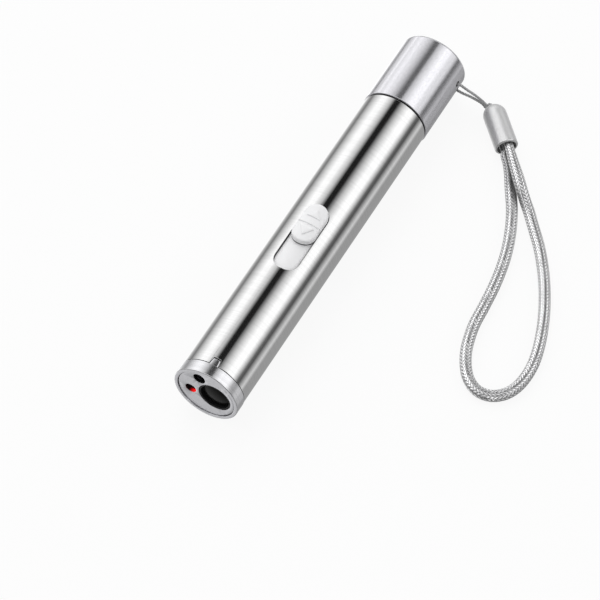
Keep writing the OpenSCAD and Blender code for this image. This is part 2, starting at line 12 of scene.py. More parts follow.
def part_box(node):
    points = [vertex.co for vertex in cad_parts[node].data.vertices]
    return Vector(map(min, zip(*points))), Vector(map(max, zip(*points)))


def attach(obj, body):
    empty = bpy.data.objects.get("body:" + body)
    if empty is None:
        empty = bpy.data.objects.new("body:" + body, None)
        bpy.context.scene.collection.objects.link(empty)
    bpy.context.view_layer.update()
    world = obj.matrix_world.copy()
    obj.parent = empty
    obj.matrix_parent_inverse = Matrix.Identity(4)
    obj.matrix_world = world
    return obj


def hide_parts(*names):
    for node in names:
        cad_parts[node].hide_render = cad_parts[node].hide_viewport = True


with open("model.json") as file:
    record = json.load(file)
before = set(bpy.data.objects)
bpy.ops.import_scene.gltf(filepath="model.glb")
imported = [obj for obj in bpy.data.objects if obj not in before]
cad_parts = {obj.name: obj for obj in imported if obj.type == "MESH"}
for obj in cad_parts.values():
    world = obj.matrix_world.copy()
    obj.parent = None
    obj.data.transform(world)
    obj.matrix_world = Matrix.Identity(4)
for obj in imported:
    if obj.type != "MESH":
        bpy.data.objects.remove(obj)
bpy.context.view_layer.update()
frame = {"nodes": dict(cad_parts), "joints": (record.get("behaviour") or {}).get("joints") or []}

bl_info = {
    "name": "Pocket cat pointer",
    "version": (1, 0, 0),
    "blender": (4, 5, 0),
    "location": "3D View > Sidebar > Pointer",
    "description": "Dresses a steel pocket pointer with its lamps, slide switch, tail cap and wrist strap",
    "category": "Add Mesh",
}

# Pieces are modelled in millimetres, and are brought to metres when they are finished.
MM = 0.001
TURN_STEPS = 144  # steps of a turned piece
ARC_STEPS = 6  # steps of a rounded corner
BEND_STEP = 0.2  # widest flat strip of a bent sheet
WELD = 1e-4  # points nearer than this become one
SLIP = 0.05  # clearance of one piece in another
FINE = 0.06  # finest rounding of an edge
EDGE = 0.1  # common rounding of an edge
TOUCH = 0.02  # how near a face's middle comes to a wall that it lies on


def box_mm(node):
    """Lowest and highest corner of a node, in millimetres."""
    lo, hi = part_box(node)
    return lo / MM, hi / MM


def middle(node):
    """Middle of a node's box, in millimetres."""
    lo, hi = box_mm(node)
    return (lo + hi) / 2


def radius_of(node):
    """Radius of a round node that lies along X, in millimetres."""
    lo, hi = box_mm(node)
    return (hi.z - lo.z) / 2


BARREL_LO, BARREL_HI = box_mm("barrel_tube")
AXIS_Z = middle("barrel_tube").z
BARREL_R = radius_of("barrel_tube")
TRAVEL = next(j for j in frame["joints"] if j["name"] == "switch_slide")["range_m"][1] / MM

# Routes of the two cords, in millimetres, with the heights of the string's ends in the ferrule
UPPER, LOWER = 3.192, 2.408
REAR_STRAND = (
    (-48.56, 19.64, UPPER), (-50.33, 17.87, UPPER), (-51.89, 16.31, UPPER), (-52.15, 15.58, 3.2),
    (-51.54, 15.18, 3.1), (-51.22, 14.32, 4.2), (-50.74, 13.17, 5.6), (-50.06, 11.92, 7.2),
    (-49.37, 10.7, 8.6),
)
FRONT_STRAND = (
    (-49.15, 9.9, 6.9), (-49.56, 11.33, 6.4), (-50.29, 12.41, 5.2), (-51.22, 13.45, 3.6),
    (-51.7, 14.21, 2.5), (-51.53, 15.01, 2.15), (-52.18, 15.66, 2.34), (-51.89, 16.31, LOWER),
    (-50.33, 17.87, LOWER), (-48.56, 19.64, LOWER),
)
CORD_ROUTE = (
    (-48, 20.6, 3.9), (-43.9, 24.8, 3.9), (-41.6, 26.8, 4), (-39.5, 28.6, 4.1), (-37.1, 30.8, 4),
    (-34.8, 33, 3.5), (-33, 35, 2.4), (-31, 37.2, 1.7), (-28.7, 39.3, 1.4), (-23.7, 43.7, 1.4),
    (-18.3, 47.6, 1.4), (-12.7, 50.9, 1.4), (-6.8, 53.7, 1.4), (-0.7, 55.9, 1.4), (5, 57.2, 1.4),
    (10.4, 57.2, 1.4), (14.4, 55.9, 1.4), (16.9, 53.4, 1.4), (17.6, 50.4, 1.4), (16.6, 47.6, 1.4),
    (14, 45, 1.4), (9.3, 42.5, 1.4), (3, 40.9, 1.4), (-3, 40.4, 1.4), (-9.8, 39.7, 1.4),
    (-16.7, 38.4, 1.4), (-23.1, 36.4, 1.4), (-29.2, 33.7, 1.4), (-34.9, 30.3, 1.4),
    (-37.8, 28.5, 1.4), (-40.4, 26.6, 1.5), (-42, 25.1, 1.6), (-43.4, 24.3, 1.7), (-47.5, 20.1, 1.7),
)

# The studio across the barrel: degrees from straight up towards the strap, and level. Two white
# panels stand beside a narrow dark boom overhead, with dark horizons and a pale table below.
PANELS = (
    (-180, 0.40), (-150, 0.94), (-124, 0.36), (-108, 0.17), (-92, 0.50), (-64, 1.0), (-48, 0.97),
    (-27, 0.48), (-16, 0.01), (-1, 0.01), (20, 0.60), (38, 1.0), (56, 1.0), (77, 0.12), (86, 0.07),
    (108, 0.60), (120, 0.30), (166, 0.29),
)
STUDIO_LEVEL = 1.25
# Shares of a direction along the barrel between which a change runs: the boom's two ends, the end of the
# sky in front, the fading of the panels at the rear, and the dark end of the room in front
BOOM = ((-0.80, -0.70), (-0.30, -0.20))
FRONT_END = (0.34, 0.50)
REAR_DIM = (-0.80, -0.58)
DARK_END = (0.58, 0.74)
# What is left of the light where the panels fade and at the dark end
REAR_LEFT = 0.8
END_LEFT = 0.45
# The sky past the boom's ends: its levels at the rear and in front, and the heights where it fades in
SKY_LEVEL = (0.58, 0.86)
SKY_FADE = (0.0, 0.5)
# The table past the barrel's own image: where it starts at the rear and in front, its levels there, and
# the heights where it fades out
TABLE_GAP = ((-0.74, -0.60), (-0.38, -0.28))
TABLE_LEVEL = (0.6, 0.3)
TABLE_FADE = (-0.3, 0.0)
# The dark room behind the camera: its direction, where it fades, and what is left of the light there
DARK_ROOM = (0.30, 0.45, 0.84)
ROOM_FADE = (0.20, 0.42)
ROOM_LEFT = 0.1
# Share of the table that is white to the camera; the rest takes the object's shadow
TABLE_WHITE = 0.9
# Distance and length of the strip lights, in metres
STRIP_AWAY = 0.6
STRIP_LONG = 0.6
# Strip lights, each on one piece alone: the piece, the node that it stands for, how far the strips
# stand rearwards, as a share of their distance, and from, to (in degrees, as above) and level of each
STRIPS = (
    ("cap_shell", "rear_cap", 0.568, (
        (-164, -132, 0.36), (-112, -84, 0.58), (-92, -58, 0.25), (-2, 34, 0.62), (34, 48, 0.36),
        (62, 78, 0.48), (118, 142, 0.12),
    )),
    ("head_shell", "head_ring", 0.568, (
        (-164, -106, 0.15), (2, 30, 0.36), (74, 100, 0.27), (118, 142, 0.15),
    )),
    ("ferrule", "cord_ferrule", 0.568, ((-30, -4, 0.75),)),
    ("ferrule", "cord_ferrule", -0.15, ((-80, -54, 0.35),)),
    ("braid", "wrist_cord", 0.2, ((-68, -36, 0.8), (-116, -94, 0.8))),
    ("braid", "wrist_cord", 1.1, ((30, 75, 0.34), (96, 122, 0.46))),
    ("braid", "wrist_cord", -1.5, ((-50, 10, 0.7), (10, 70, 0.9), (70, 140, 1.0))),
)


def length(name, millimetres, description):
    """A length that a user may change."""
    return FloatProperty(
        name=name, description=description, default=millimetres * MM, min=0, precision=5, unit="LENGTH"
    )


def colour(name, value, description):
    """A colour that a user may change."""
    return FloatVectorProperty(
        name=name, description=description, default=value, min=0, max=1, size=3, subtype="COLOR"
    )


class PointerSizes(bpy.types.PropertyGroup):
    """Sizes of the dressed pieces that the frame doesn't give."""

    barrel_wall: length("Barrel wall", 0.5, "Thickness of the steel barrel")
    soft_edge: length("Soft edge", 0.07, "Rounding of the cut edges on thin metal")
    joint_gap: length("Joint gap", 0.2, "Gap between the head ring and the barrel")
    rim_wall: length("Rim wall", 0.9, "Wall of the raised rim round the face")
    rim_edge: length("Rim edge", 0.2, "Rounding of the rim's outer edge")
    key_root: length("Key root", 2.3, "Width of the locating key at the head ring")
    key_tip: length("Key tip", 1.7, "Width of the locating key at its end")
    key_len: length("Key length", 1.6, "Length of the locating key")
    key_gap: length("Key gap", 0.04, "Gap beside the locating key")
    key_end_gap: length("Key end gap", 0.24, "Gap past the end of the locating key")
    face_gap: length("Face gap", 0.1, "Dark line round the face plate")
    torch_d: length("Torch opening", 8.1, "Diameter of the torch opening")
    laser_d: length("Laser opening", 2.7, "Diameter of the laser opening")
    uv_d: length("Ultraviolet opening", 3.0, "Diameter of the ultraviolet lamp's opening")
    button_gap: length("Button gap", 0.15, "Gap between the thumb button and its slot")
    button_round: length("Button rounding", 0.5, "Rounding of the thumb button's top edge")
    mark_rise: length("Mark rise", 0.25, "Height of the marks on the thumb button")
    mark_line: length("Mark line", 0.45, "Width of the divider between the arrows")
    arrow_w: length("Arrow width", 3.6, "Width of the arrows on the thumb button")
    arrow_l: length("Arrow length", 2.6, "Length of the arrows on the thumb button")
    button_lift: length("Button lift", 0.46, "Shadow gap between the thumb button and its plate")
    cap_wall: length("Cap wall", 0.8, "Wall of the tail cap")
    cap_edge: length("Cap edge", 0.8, "Rounding of the cap's rear edge")
    eyelet_d: length("Eyelet", 1.4, "Diameter of the string's eyelets")
    eyelet_pitch: length("Eyelet pitch", 2.4, "Distance between the two eyelets round the cap")
    eyelet_inset: length("Eyelet inset", 4.1, "Distance from the cap's rear to the eyelets")
    plug_wall: length("Plug wall", 0.3, "Wall of the charging plug's shell")
    plug_edge: length("Plug edge", 0.45, "Rounding of the charging plug's shell")
    ferrule_d: length("Ferrule", 5.6, "Outside diameter of the ferrule")
    ferrule_len: length("Ferrule length", 12, "Length of the ferrule")
    ferrule_wall: length("Ferrule wall", 0.5, "Wall of the ferrule at its mouth")
    cord_d: length("Cord", 2.8, "Diameter of the braided cord")
    braid_pitch: length("Braid pitch", 10.4, "Length in which a yarn goes once round the cord")
    yarn_d: length("Yarn", 0.46, "Diameter of one yarn of the braid")
    yarn_wave: length("Yarn wave", 0.15, "Rise and fall of a yarn over its neighbours")
    string_d: length("String", 0.7, "Diameter of the thin string")
    string_pitch: length("String pitch", 2.2, "Length in which the string's plies turn once")
    yarns: IntProperty(name="Yarns", description="Yarns of the braid in each direction", default=12, min=4)


class PointerColours(bpy.types.PropertyGroup):
    """Colours of the pieces that show."""

    steel: colour("Steel", (0.80, 0.80, 0.80), "Polished barrel")
    head: colour("Head", (0.78, 0.78, 0.80), "Turned head ring")
    face: colour("Face", (0.70, 0.70, 0.725), "Matt face plate")
    cap: colour("Cap", (0.64, 0.636, 0.665), "Satin tail cap")
    nickel: colour("Nickel", (0.70, 0.70, 0.69), "Plated steel")
    white: colour("White", (0.90, 0.90, 0.91), "Thumb button and its plate")
    black: colour("Black", (0.006, 0.006, 0.0065), "Moulded black plastic")
    ferrule: colour("Ferrule", (0.74, 0.74, 0.745), "Satin ferrule")
    string: colour("String", (0.41, 0.41, 0.415), "Thin string")
    yarn: colour("Yarn", (0.93, 0.93, 0.94), "Silver yarn of the braid")
    # Painted light: the laser's red light, painted as emission on the wall of its opening.
    glow: colour("Glow", (1.0, 0.01, 0.01), "Laser light in its opening")


def sizes(context):
    """The sizes in millimetres, by name."""
    group = context.scene.pointer_sizes
    names = PointerSizes.__annotations__
    return {name: getattr(group, name) / (1 if name == "yarns" else MM) for name in names}


class Wire:
    """A node's output. Python's operators on it add Math nodes."""

    def __init__(self, maker, socket):
        self.maker = maker
        self.socket = socket

    def other(self, name):
        """Another output of the same node."""
        return Wire(self.maker, self.socket.node.outputs[name])

    def math(self, operation, *values):
        return self.maker.add("ShaderNodeMath", {"operation": operation}, dict(enumerate(values)))

    def __add__(self, value):
        return self.math("ADD", self, value)

    def __radd__(self, value):
        return self.math("ADD", value, self)

    def __sub__(self, value):
        return self.math("SUBTRACT", self, value)

    def __rsub__(self, value):
        return self.math("SUBTRACT", value, self)

    def __mul__(self, value):
        return self.math("MULTIPLY", self, value)

    def __rmul__(self, value):
        return self.math("MULTIPLY", value, self)

    def __truediv__(self, value):
        return self.math("DIVIDE", self, value)

    def between(self, low, high):
        """Rises smoothly from 0 at low to 1 at high."""
        return self.maker.add(
            "ShaderNodeMapRange", {"interpolation_type": "SMOOTHSTEP"},
            {"Value": self, "From Min": low, "From Max": high},
        )


class Nodes:
    """Adds nodes to a material or a world."""

    def __init__(self, owner):
        owner.use_nodes = True
        self.owner = owner
        self.tree = owner.node_tree
        self.tree.nodes.clear()

    def add(self, kind, settings=None, sockets=None, output=0):
        node = self.tree.nodes.new(kind)
        for name, value in (settings or {}).items():
            if name == "stops":
                self.set_stops(node.color_ramp, value)
            else:
                setattr(node, name, value)
        for name, value in (sockets or {}).items():
            if isinstance(value, Wire):
                self.tree.links.new(value.socket, node.inputs[name])
            else:
                node.inputs[name].default_value = value
        return Wire(self, node.outputs[output]) if node.outputs else None

    def set_stops(self, ramp, stops):
        while len(ramp.elements) < len(stops):
            ramp.elements.new(1)
        for element, (position, level) in zip(ramp.elements, stops):
            element.position = position
            element.color = (level, level, level, 1)

    def place(self):
        """A point of the surface, in metres."""
        return self.add("ShaderNodeTexCoord", output="Object")

    def stretch(self, vector, factors):
        return self.add("ShaderNodeVectorMath", {"operation": "MULTIPLY"}, {0: vector, 1: factors})

    def distance(self, vector, point):
        return self.add("ShaderNodeVectorMath", {"operation": "DISTANCE"}, {0: vector, 1: point}, "Value")

    def seen(self):
        """1 for what the camera sees, straight or through glass, and otherwise 0."""
        path = self.add("ShaderNodeLightPath")
        return path.math("MAXIMUM", path, path.other("Is Transmission Ray"))

    def noise(self, vector, scale, detail=2.0):
        return self.add("ShaderNodeTexNoise", None, {"Vector": vector, "Scale": scale, "Detail": detail})

    def blend(self, factor, first, second):
        """Goes from the first colour to the second."""
        pair = [(*c, 1.0) if isinstance(c, tuple) else c for c in (first, second)]
        return self.add(
            "ShaderNodeMix", {"data_type": "RGBA"}, {0: factor, 6: pair[0], 7: pair[1]}, output=2
        )

    def bump(self, height, depth):
        """Turns a height into a relief of that depth in metres."""
        return self.add("ShaderNodeBump", None, {"Height": height, "Distance": depth})

    def surface(self, sockets):
        """Ends a material with its main shader, and gives the material."""
        shader = self.add("ShaderNodeBsdfPrincipled", None, sockets)
        self.add("ShaderNodeOutputMaterial", None, {"Surface": shader})
        return self.owner


def new_finish(name):
    """The maker of a new material's nodes."""
    return Nodes(bpy.data.materials.new(name))


def shade(value, factor):
    """A colour made darker or lighter."""
    return tuple(min(1.0, c * factor) for c in value)


def metal_finish(name, value, roughness, grain, depth, metallic=1.0, contrast=0.03):
    """Metal with fine marks. grain gives the marks per metre along X, Y and Z, depth is in metres, and
    contrast is the share by which the marks change the colour."""
    nodes = new_finish(name)
    place = nodes.place()
    marks = nodes.noise(nodes.stretch(place, grain), 1.0, 3.0)
    bands = nodes.noise(nodes.stretch(place, tuple(g / 3 for g in grain)), 1.0, 3.0)
    smudge = nodes.noise(place, 160.0)
    return nodes.surface({
        "Base Color": nodes.blend(
            0.8 * bands.between(0.3, 0.7) + 0.2 * smudge,
            shade(value, 1 - contrast), shade(value, 1 + contrast),
        ),
        "Metallic": metallic,
        "Roughness": roughness * (0.75 + 0.3 * marks + 0.2 * smudge),
        "Normal": nodes.bump(0.6 * marks + 0.4 * bands, depth),
    })


def plastic_finish(name, value, roughness, depth, specular=0.5):
    """Moulded plastic with a fine matt skin."""
    nodes = new_finish(name)
    place = nodes.place()
    skin = nodes.noise(place, 9000.0, 3.0)
    flow = nodes.noise(place, 260.0)
    return nodes.surface({
        "Base Color": nodes.blend(flow, shade(value, 0.97), shade(value, 1.02)),
        "Roughness": roughness * (0.85 + 0.2 * skin + 0.1 * flow),
        "Specular IOR Level": specular,
        "Normal": nodes.bump(skin, depth),
    })


def lens_finish(name):
    """A clear lens over a black well, which looks charcoal."""
    nodes = new_finish(name)
    place = nodes.place()
    haze = nodes.noise(place, 420.0, 4.0)
    dust = nodes.noise(place, 5200.0).between(0.68, 0.76)
    return nodes.surface({
        "Base Color": nodes.blend(haze + 0.4 * dust, (0.002, 0.002, 0.002), (0.009, 0.009, 0.008)),
        "Roughness": 0.18 + 0.12 * haze + 0.2 * dust,
        "Specular IOR Level": 0.15,
        "IOR": 1.28,
    })


def cloudy_finish(name, low, high, grain, detail, roughness, spread, depth, constants):
    """One cloud between two colours, as on resin, thread or film. constants are sockets of one value."""
    nodes = new_finish(name)
    cloud = nodes.noise(nodes.stretch(nodes.place(), grain), 1.0, detail)
    sockets = {
        "Base Color": nodes.blend(cloud, low, high),
        "Roughness": roughness + spread * cloud,
        **constants,
    }
    if depth:
        sockets["Normal"] = nodes.bump(cloud, depth)
    return nodes.surface(sockets)


def well_finish(name, value, glow, centre, reach):
    """Black walls of a lamp opening, as painted shade, with the laser's red light painted on them beside
    the laser as emission.
    """
    nodes = new_finish(name)
    place = nodes.place()
    skin = nodes.noise(place, 6000.0)
    # Painted light: the laser's red light, painted on the wall as emission that fades out from the given
    # spot; the wall is no lamp.
    lit = 1 - nodes.distance(place, centre).between(0.45 * reach, reach)
    return nodes.surface({
        "Base Color": nodes.blend(skin, shade(value, 0.5), shade(value, 0.9)),
        "Roughness": 0.6 + 0.2 * skin,
        "Specular IOR Level": 0.15,
        "Emission Color": nodes.blend(lit, (0.0, 0.0, 0.0), glow),
        "Emission Strength": 1.0,
    })


def module_finish(name, brass, black):
    """The brass laser module, with a black nose that is painted shade for the depth of its opening."""
    nodes = new_finish(name)
    place = nodes.place()
    lathe = nodes.noise(nodes.stretch(place, (7000.0, 500.0, 500.0)), 1.0, 3.0)
    along = nodes.add("ShaderNodeSeparateXYZ", None, {0: place})
    nose = box_mm("laser_barrel")[1].x * MM
    # Painted shade: the nose's last 0.9 mm is made black and not metal, for the shade deep in the opening.
    painted = along.between(nose - 1.0 * MM, nose - 0.9 * MM)
    return nodes.surface({
        "Base Color": nodes.blend(painted, brass, shade(black, 0.5)),
        "Metallic": 1 - painted,
        "Roughness": 0.3 + 0.2 * lathe + 0.3 * painted,
        "Normal": nodes.bump(lathe, 2e-6),
    })


def yarn_finish(name, value):
    """Silver yarn: bright filaments on the tops of the braid, with painted shade in its grooves, between
    its strands and at the ferrule's mouth.
    """
    nodes = new_finish(name)
    place = nodes.place()
    fibres = nodes.noise(nodes.stretch(place, (9000.0, 9000.0, 4000.0)), 1.0, 3.0)
    patches = nodes.noise(place, 900.0)
    thread = nodes.blend(0.5 * fibres + 0.5 * patches, shade(value, 0.88), shade(value, 1.07))
    relief, room = (
        nodes.add("ShaderNodeAttribute", {"attribute_name": key}, None, "Fac") for key in ("relief", "room")
    )
    # Painted shade: the yarns are darker down in the grooves between the tops of the braid.
    wound = nodes.blend(relief.between(0.86, 0.97), shade(value, 0.4), thread)
    return nodes.surface({
        # Painted shadow: the yarns turn near black where the other strand lies close and at the ferrule's
        # mouth.
        "Base Color": nodes.blend(room.between(0.1, 1.5), shade(value, 0.05), wound),
        "Metallic": 0.9,
        "Roughness": 0.16 + 0.1 * fibres,
        "Normal": nodes.bump(fibres, 2e-6),
    })


def board_finish(name):
    """A green circuit board with copper tracks under its lacquer."""
    nodes = new_finish(name)
    place = nodes.place()
    tracks = nodes.add(
        "ShaderNodeTexBrick", {"offset": 0.35},
        {"Vector": place, "Scale": 260.0, "Mortar Size": 0.06, "Brick Width": 0.9}, "Fac",
    )
    weave = nodes.noise(place, 3000.0)
    return nodes.surface({
        "Base Color": nodes.blend(tracks, (0.02, 0.16, 0.08), (0.05, 0.27, 0.13)),
        "Roughness": 0.32 + 0.15 * weave,
        "Normal": nodes.bump(tracks + 0.3 * weave, 2e-5),
    })


FINISHES = {}


def make_finishes(context):
    """One material for each of the record's slots, and those of the new pieces alone."""
    group = context.scene.pointer_colours
    c = {name: tuple(getattr(group, name)) for name in PointerColours.__annotations__}
    # Marks per metre along X, Y and Z
    rings = (9000.0, 350.0, 350.0)
    lathe = (5000.0, 110.0, 110.0)
    creases = (200.0, 900.0, 900.0)
    speckle, satin, resin, fibres = ((scale,) * 3 for scale in (3500.0, 7000.0, 700.0, 14000.0))
    laser = middle("laser_barrel")
    # The spot round which the laser's red light is painted on its opening's wall, and how far it reaches.
    glow_centre = tuple(Vector((box_mm("face_plate")[1].x - 0.4, laser.y + 1.0, laser.z - 0.35)) * MM)
    glow_reach = 1.8 * MM
    rows = (
        (metal_finish, "barrel_steel", c["steel"], 0.10, rings, 0.5e-6, 1.0, 0.042),
        # Near black steel: painted shade on the walls of the barrel's slot and notch, its front end, the
        # head ring's joint and the cap's eyelets.
        (metal_finish, "cut_steel", (0.06, 0.06, 0.06), 0.5, speckle, 4e-6),
        (metal_finish, "head_aluminium", c["head"], 0.2, lathe, 4e-6, 1.0, 0.065),
        (metal_finish, "face_aluminium", c["face"], 0.42, speckle, 6e-6),
        (metal_finish, "cap_aluminium", c["cap"], 0.18, satin, 1.2e-6, 0.88, 0.05),
        (metal_finish, "plated_steel", c["nickel"], 0.2, speckle, 2e-6),
        (plastic_finish, "black_plastic", c["black"], 0.5, 8e-6, 0.2),
        # Dark grey plastic for the stem under the thumb button: painted shade in the gap under it.
        (plastic_finish, "carrier_plastic", (0.10, 0.10, 0.11), 0.5, 8e-6),
        (plastic_finish, "switch_white", c["white"], 0.38, 3e-6),
        (plastic_finish, "tongue_white", (0.83, 0.83, 0.81), 0.45, 4e-6),
        (lens_finish, "lens_glass"),
        (plastic_finish, "lamp_yellow", (0.85, 0.62, 0.12), 0.35, 6e-6),
        # Dark resin made near black and almost without a shine: its own dark colour with painted shade for
        # the depth of its opening.
        (
            cloudy_finish, "uv_resin", (0.0006, 0.0006, 0.0009), (0.0016, 0.0012, 0.003), resin, 2.0,
            0.35, 0.15, 0, {"Specular IOR Level": 0.02},
        ),
        (module_finish, "module_brass", (0.72, 0.52, 0.22), c["black"]),
        (metal_finish, "contact_gold", (0.85, 0.62, 0.25), 0.22, speckle, 1e-6),
        (board_finish, "board_green"),
        (plastic_finish, "chip_black", (0.03, 0.03, 0.032), 0.55, 9e-6),
        (
            cloudy_finish, "cell_wrap", (0.05, 0.17, 0.36), (0.09, 0.26, 0.48), creases, 3.0,
            0.2, 0.2, 4e-5, {"Coat Weight": 0.3},
        ),
        (plastic_finish, "wire_red", (0.5, 0.03, 0.03), 0.4, 3e-6),
        (
            cloudy_finish, "string_grey", shade(c["string"], 0.75), shade(c["string"], 1.25), fibres, 3.0,
            0.45, 0.2, 1.5e-5, {"Sheen Weight": 0.3},
        ),
        (metal_finish, "ferrule_grey", c["ferrule"], 0.42, speckle, 2e-6, 0.9),
        (yarn_finish, "cord_silver", c["yarn"]),
        (well_finish, "lamp_well", c["black"], c["glow"], glow_centre, glow_reach),
    )
    FINISHES.update({name: make(name, *values) for make, name, *values in rows})


def new_mesh(name, bm):
    """Makes a mesh of a bmesh, which is used up."""
    mesh = bpy.data.meshes.new(name)
    bm.to_mesh(mesh)
    bm.free()
    return mesh


def new_object(name, data):
    """Adds an object to the scene."""
    obj = bpy.data.objects.new(name, data)
    bpy.context.scene.collection.objects.link(obj)
    return obj


def finish_piece(name, bm, body, slot, nodes, extra=(), sharp=35):
    """Makes an object of a mesh in millimetres, on a body and in the place of CAD nodes."""
    bmesh.ops.remove_doubles(bm, verts=bm.verts, dist=WELD)
    bmesh.ops.dissolve_degenerate(bm, edges=bm.edges, dist=WELD)
    bmesh.ops.scale(bm, vec=(MM, MM, MM), verts=bm.verts)
    return finish_mesh(name, new_mesh(name, bm), body, slot, nodes, extra, sharp)


def finish_mesh(name, mesh, body, slot, nodes, extra=(), sharp=35):
    """Makes an object of a mesh in metres."""
    mesh.shade_smooth()
    mesh.set_sharp_from_angle(angle=radians(sharp))
    for key in (slot, *extra):
        mesh.materials.append(FINISHES[key])
    obj = new_object(name, mesh)
    if any(name == row[0] for row in STRIPS):
        lit_alone(name).objects.link(obj)
    weights = obj.modifiers.new("face_weights", "WEIGHTED_NORMAL")
    weights.keep_sharp = True
    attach(obj, body)
    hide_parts(*nodes)
    return obj


def lit_alone(piece):
    """The collection of a piece that has strip lights of its own."""
    name = piece + "_lit"
    return bpy.data.collections.get(name) or bpy.data.collections.new(name)


def joined(*parts):
    """One mesh of several, which are used up."""
    whole = bmesh.new()
    for part in parts:
        mesh = new_mesh("part", part)
        whole.from_mesh(mesh)
        bpy.data.meshes.remove(mesh)
    return whole


def cut(solid, tool):
    """Takes the tool's solid out of another, and uses both up."""
    pair = []
    for name, bm in (("solid", solid), ("tool", tool)):
        bmesh.ops.recalc_face_normals(bm, faces=bm.faces)
        pair.append(new_object(name, new_mesh(name, bm)))
    modifier = pair[0].modifiers.new("cut", "BOOLEAN")
    modifier.object = pair[1]
    modifier.operation = "DIFFERENCE"
    modifier.solver = "EXACT"
    result = bmesh.new()
    result.from_object(pair[0], bpy.context.evaluated_depsgraph_get())
    for obj in pair:
        mesh = obj.data
        bpy.data.objects.remove(obj)
        bpy.data.meshes.remove(mesh)
    return result


def round_corners(bm, verts, rounding, steps=ARC_STEPS):
    """Rounds corners of an outline."""
    bmesh.ops.bevel(
        bm, geom=verts, offset=rounding, offset_type="OFFSET", segments=steps, profile=0.5,
        affect="VERTICES", material=-1,
    )


def round_edges(bm, edges, rounding, steps=2):
    """Rounds edges of a solid."""
    bmesh.ops.bevel(
        bm, geom=edges, offset=rounding, offset_type="OFFSET", segments=steps, profile=0.5,
        affect="EDGES", material=-1,
    )


def sharp_edges(bm, angle=50):
    """Edges between two faces that meet at more than the angle."""
    return [e for e in bm.edges if len(e.link_faces) == 2 and e.calc_face_angle() > radians(angle)]


def top_edges(bm, top):
    """Sharp edges of a solid between points of its top."""
    return [e for e in sharp_edges(bm) if all(v in top for v in e.verts)]


def shift(bm, *way):
    """Moves a whole mesh."""
    bmesh.ops.translate(bm, vec=way, verts=bm.verts)


def slice_at(bm, spot, way, weld=WELD):
    """Cuts the faces of a mesh along a plane."""
    geom = bm.verts[:] + bm.edges[:] + bm.faces[:]
    bmesh.ops.bisect_plane(bm, geom=geom, dist=weld, plane_co=spot, plane_no=way)


def off_axis(spot):
    """Distance of a point from the barrel's axis."""
    return Vector((spot.y, spot.z - AXIS_Z)).length


def paint(bm, number, chosen):
    """Gives another of a piece's finishes to the faces that a test of face and middle chooses."""
    for face in bm.faces:
        if chosen(face, face.calc_center_median()):
            face.material_index = number


def turned(corners, closed, yz=(0, AXIS_Z), steps=TURN_STEPS):
    """Spins an outline of (x, radius, rounding) corners about an axis along X through yz."""
    bm = bmesh.new()
    verts = [bm.verts.new((x, 0, radius)) for x, radius, _ in corners]
    ends = verts[1:] + verts[:1] if closed else verts[1:]
    for first, second in zip(verts, ends):
        bm.edges.new((first, second))
    for vert, (_, _, rounding) in zip(verts, corners):
        if rounding:
            round_corners(bm, [vert], rounding)
    bmesh.ops.spin(
        bm, geom=bm.verts[:] + bm.edges[:], cent=(0, 0, 0), axis=(1, 0, 0), dvec=(0, 0, 0),
        angle=tau, steps=steps, use_merge=True, use_duplicate=False,
    )
    bmesh.ops.remove_doubles(bm, verts=bm.verts, dist=WELD)
    bmesh.ops.recalc_face_normals(bm, faces=bm.faces)
    shift(bm, 0, *yz)
    return bm


def rod(x0, x1, radius, yz, steps=48):
    """A plain round bar along X."""
    return turned(((x0, 0, 0), (x0, radius, 0), (x1, radius, 0), (x1, 0, 0)), False, yz, steps)


def add_circle(bm, radius, yz, steps=96):
    """A circle across the barrel, at x = 0."""
    place = Matrix.Translation((0, *yz)) @ Matrix.Rotation(pi / 2, 4, "Y")
    bmesh.ops.create_circle(bm, cap_ends=False, radius=radius, segments=steps, matrix=place)


def add_outline(bm, points):
    """A closed outline of straight lines."""
    verts = [bm.verts.new(p) for p in points]
    for first, second in zip(verts, verts[1:] + verts[:1]):
        bm.edges.new((first, second))


def pierced_plate(bm, x0, x1, edge):
    """Fills outlines at x = 0, the inner ones as openings, and gives them a thickness."""
    bmesh.ops.triangle_fill(bm, use_beauty=True, use_dissolve=False, edges=bm.edges[:], normal=(1, 0, 0))
    shift(bm, x0, 0, 0)
    thicken(bm, (x1 - x0, 0, 0))
    round_edges(bm, sharp_edges(bm), edge)
    return bm


def thicken(bm, way):
    """Gives flat faces a thickness, as a closed solid."""
    moved = bmesh.ops.extrude_face_region(bm, geom=bm.faces[:], use_keep_orig=True)["geom"]
    verts = [v for v in moved if isinstance(v, bmesh.types.BMVert)]
    bmesh.ops.translate(bm, vec=way, verts=verts)
    bmesh.ops.recalc_face_normals(bm, faces=bm.faces)
    return verts


def flat_shape(points):
    """A flat face at z = 0 through (x, y) points."""
    bm = bmesh.new()
    bm.faces.new([bm.verts.new((x, y, 0)) for x, y in points])
    return bm


def flat_slot(x0, x1, half):
    """A flat shape with round ends."""
    bm = flat_shape(((x0, -half), (x1, -half), (x1, half), (x0, half)))
    round_corners(bm, bm.verts[:], half - WELD, 3 * ARC_STEPS)
    bmesh.ops.remove_doubles(bm, verts=bm.verts, dist=3 * WELD)
    return bm


def slice_lengthwise(bm):
    """Cuts a shape into strips that are narrow enough to bend round the barrel."""
    low = min(v.co.y for v in bm.verts)
    high = max(v.co.y for v in bm.verts)
    count = ceil((high - low) / BEND_STEP)
    for k in range(1, count):
        slice_at(bm, (0, low + (high - low) * k / count, 0), (0, 1, 0), WELD / 10)


def drape(bm, radius):
    """Lays a flat shape over a radius about the barrel's axis, keeping its sides upright."""
    slice_lengthwise(bm)
    for v in bm.verts:
        v.co.z = AXIS_Z + sqrt((radius + v.co.z) ** 2 - v.co.y ** 2)
    bmesh.ops.recalc_face_normals(bm, faces=bm.faces)


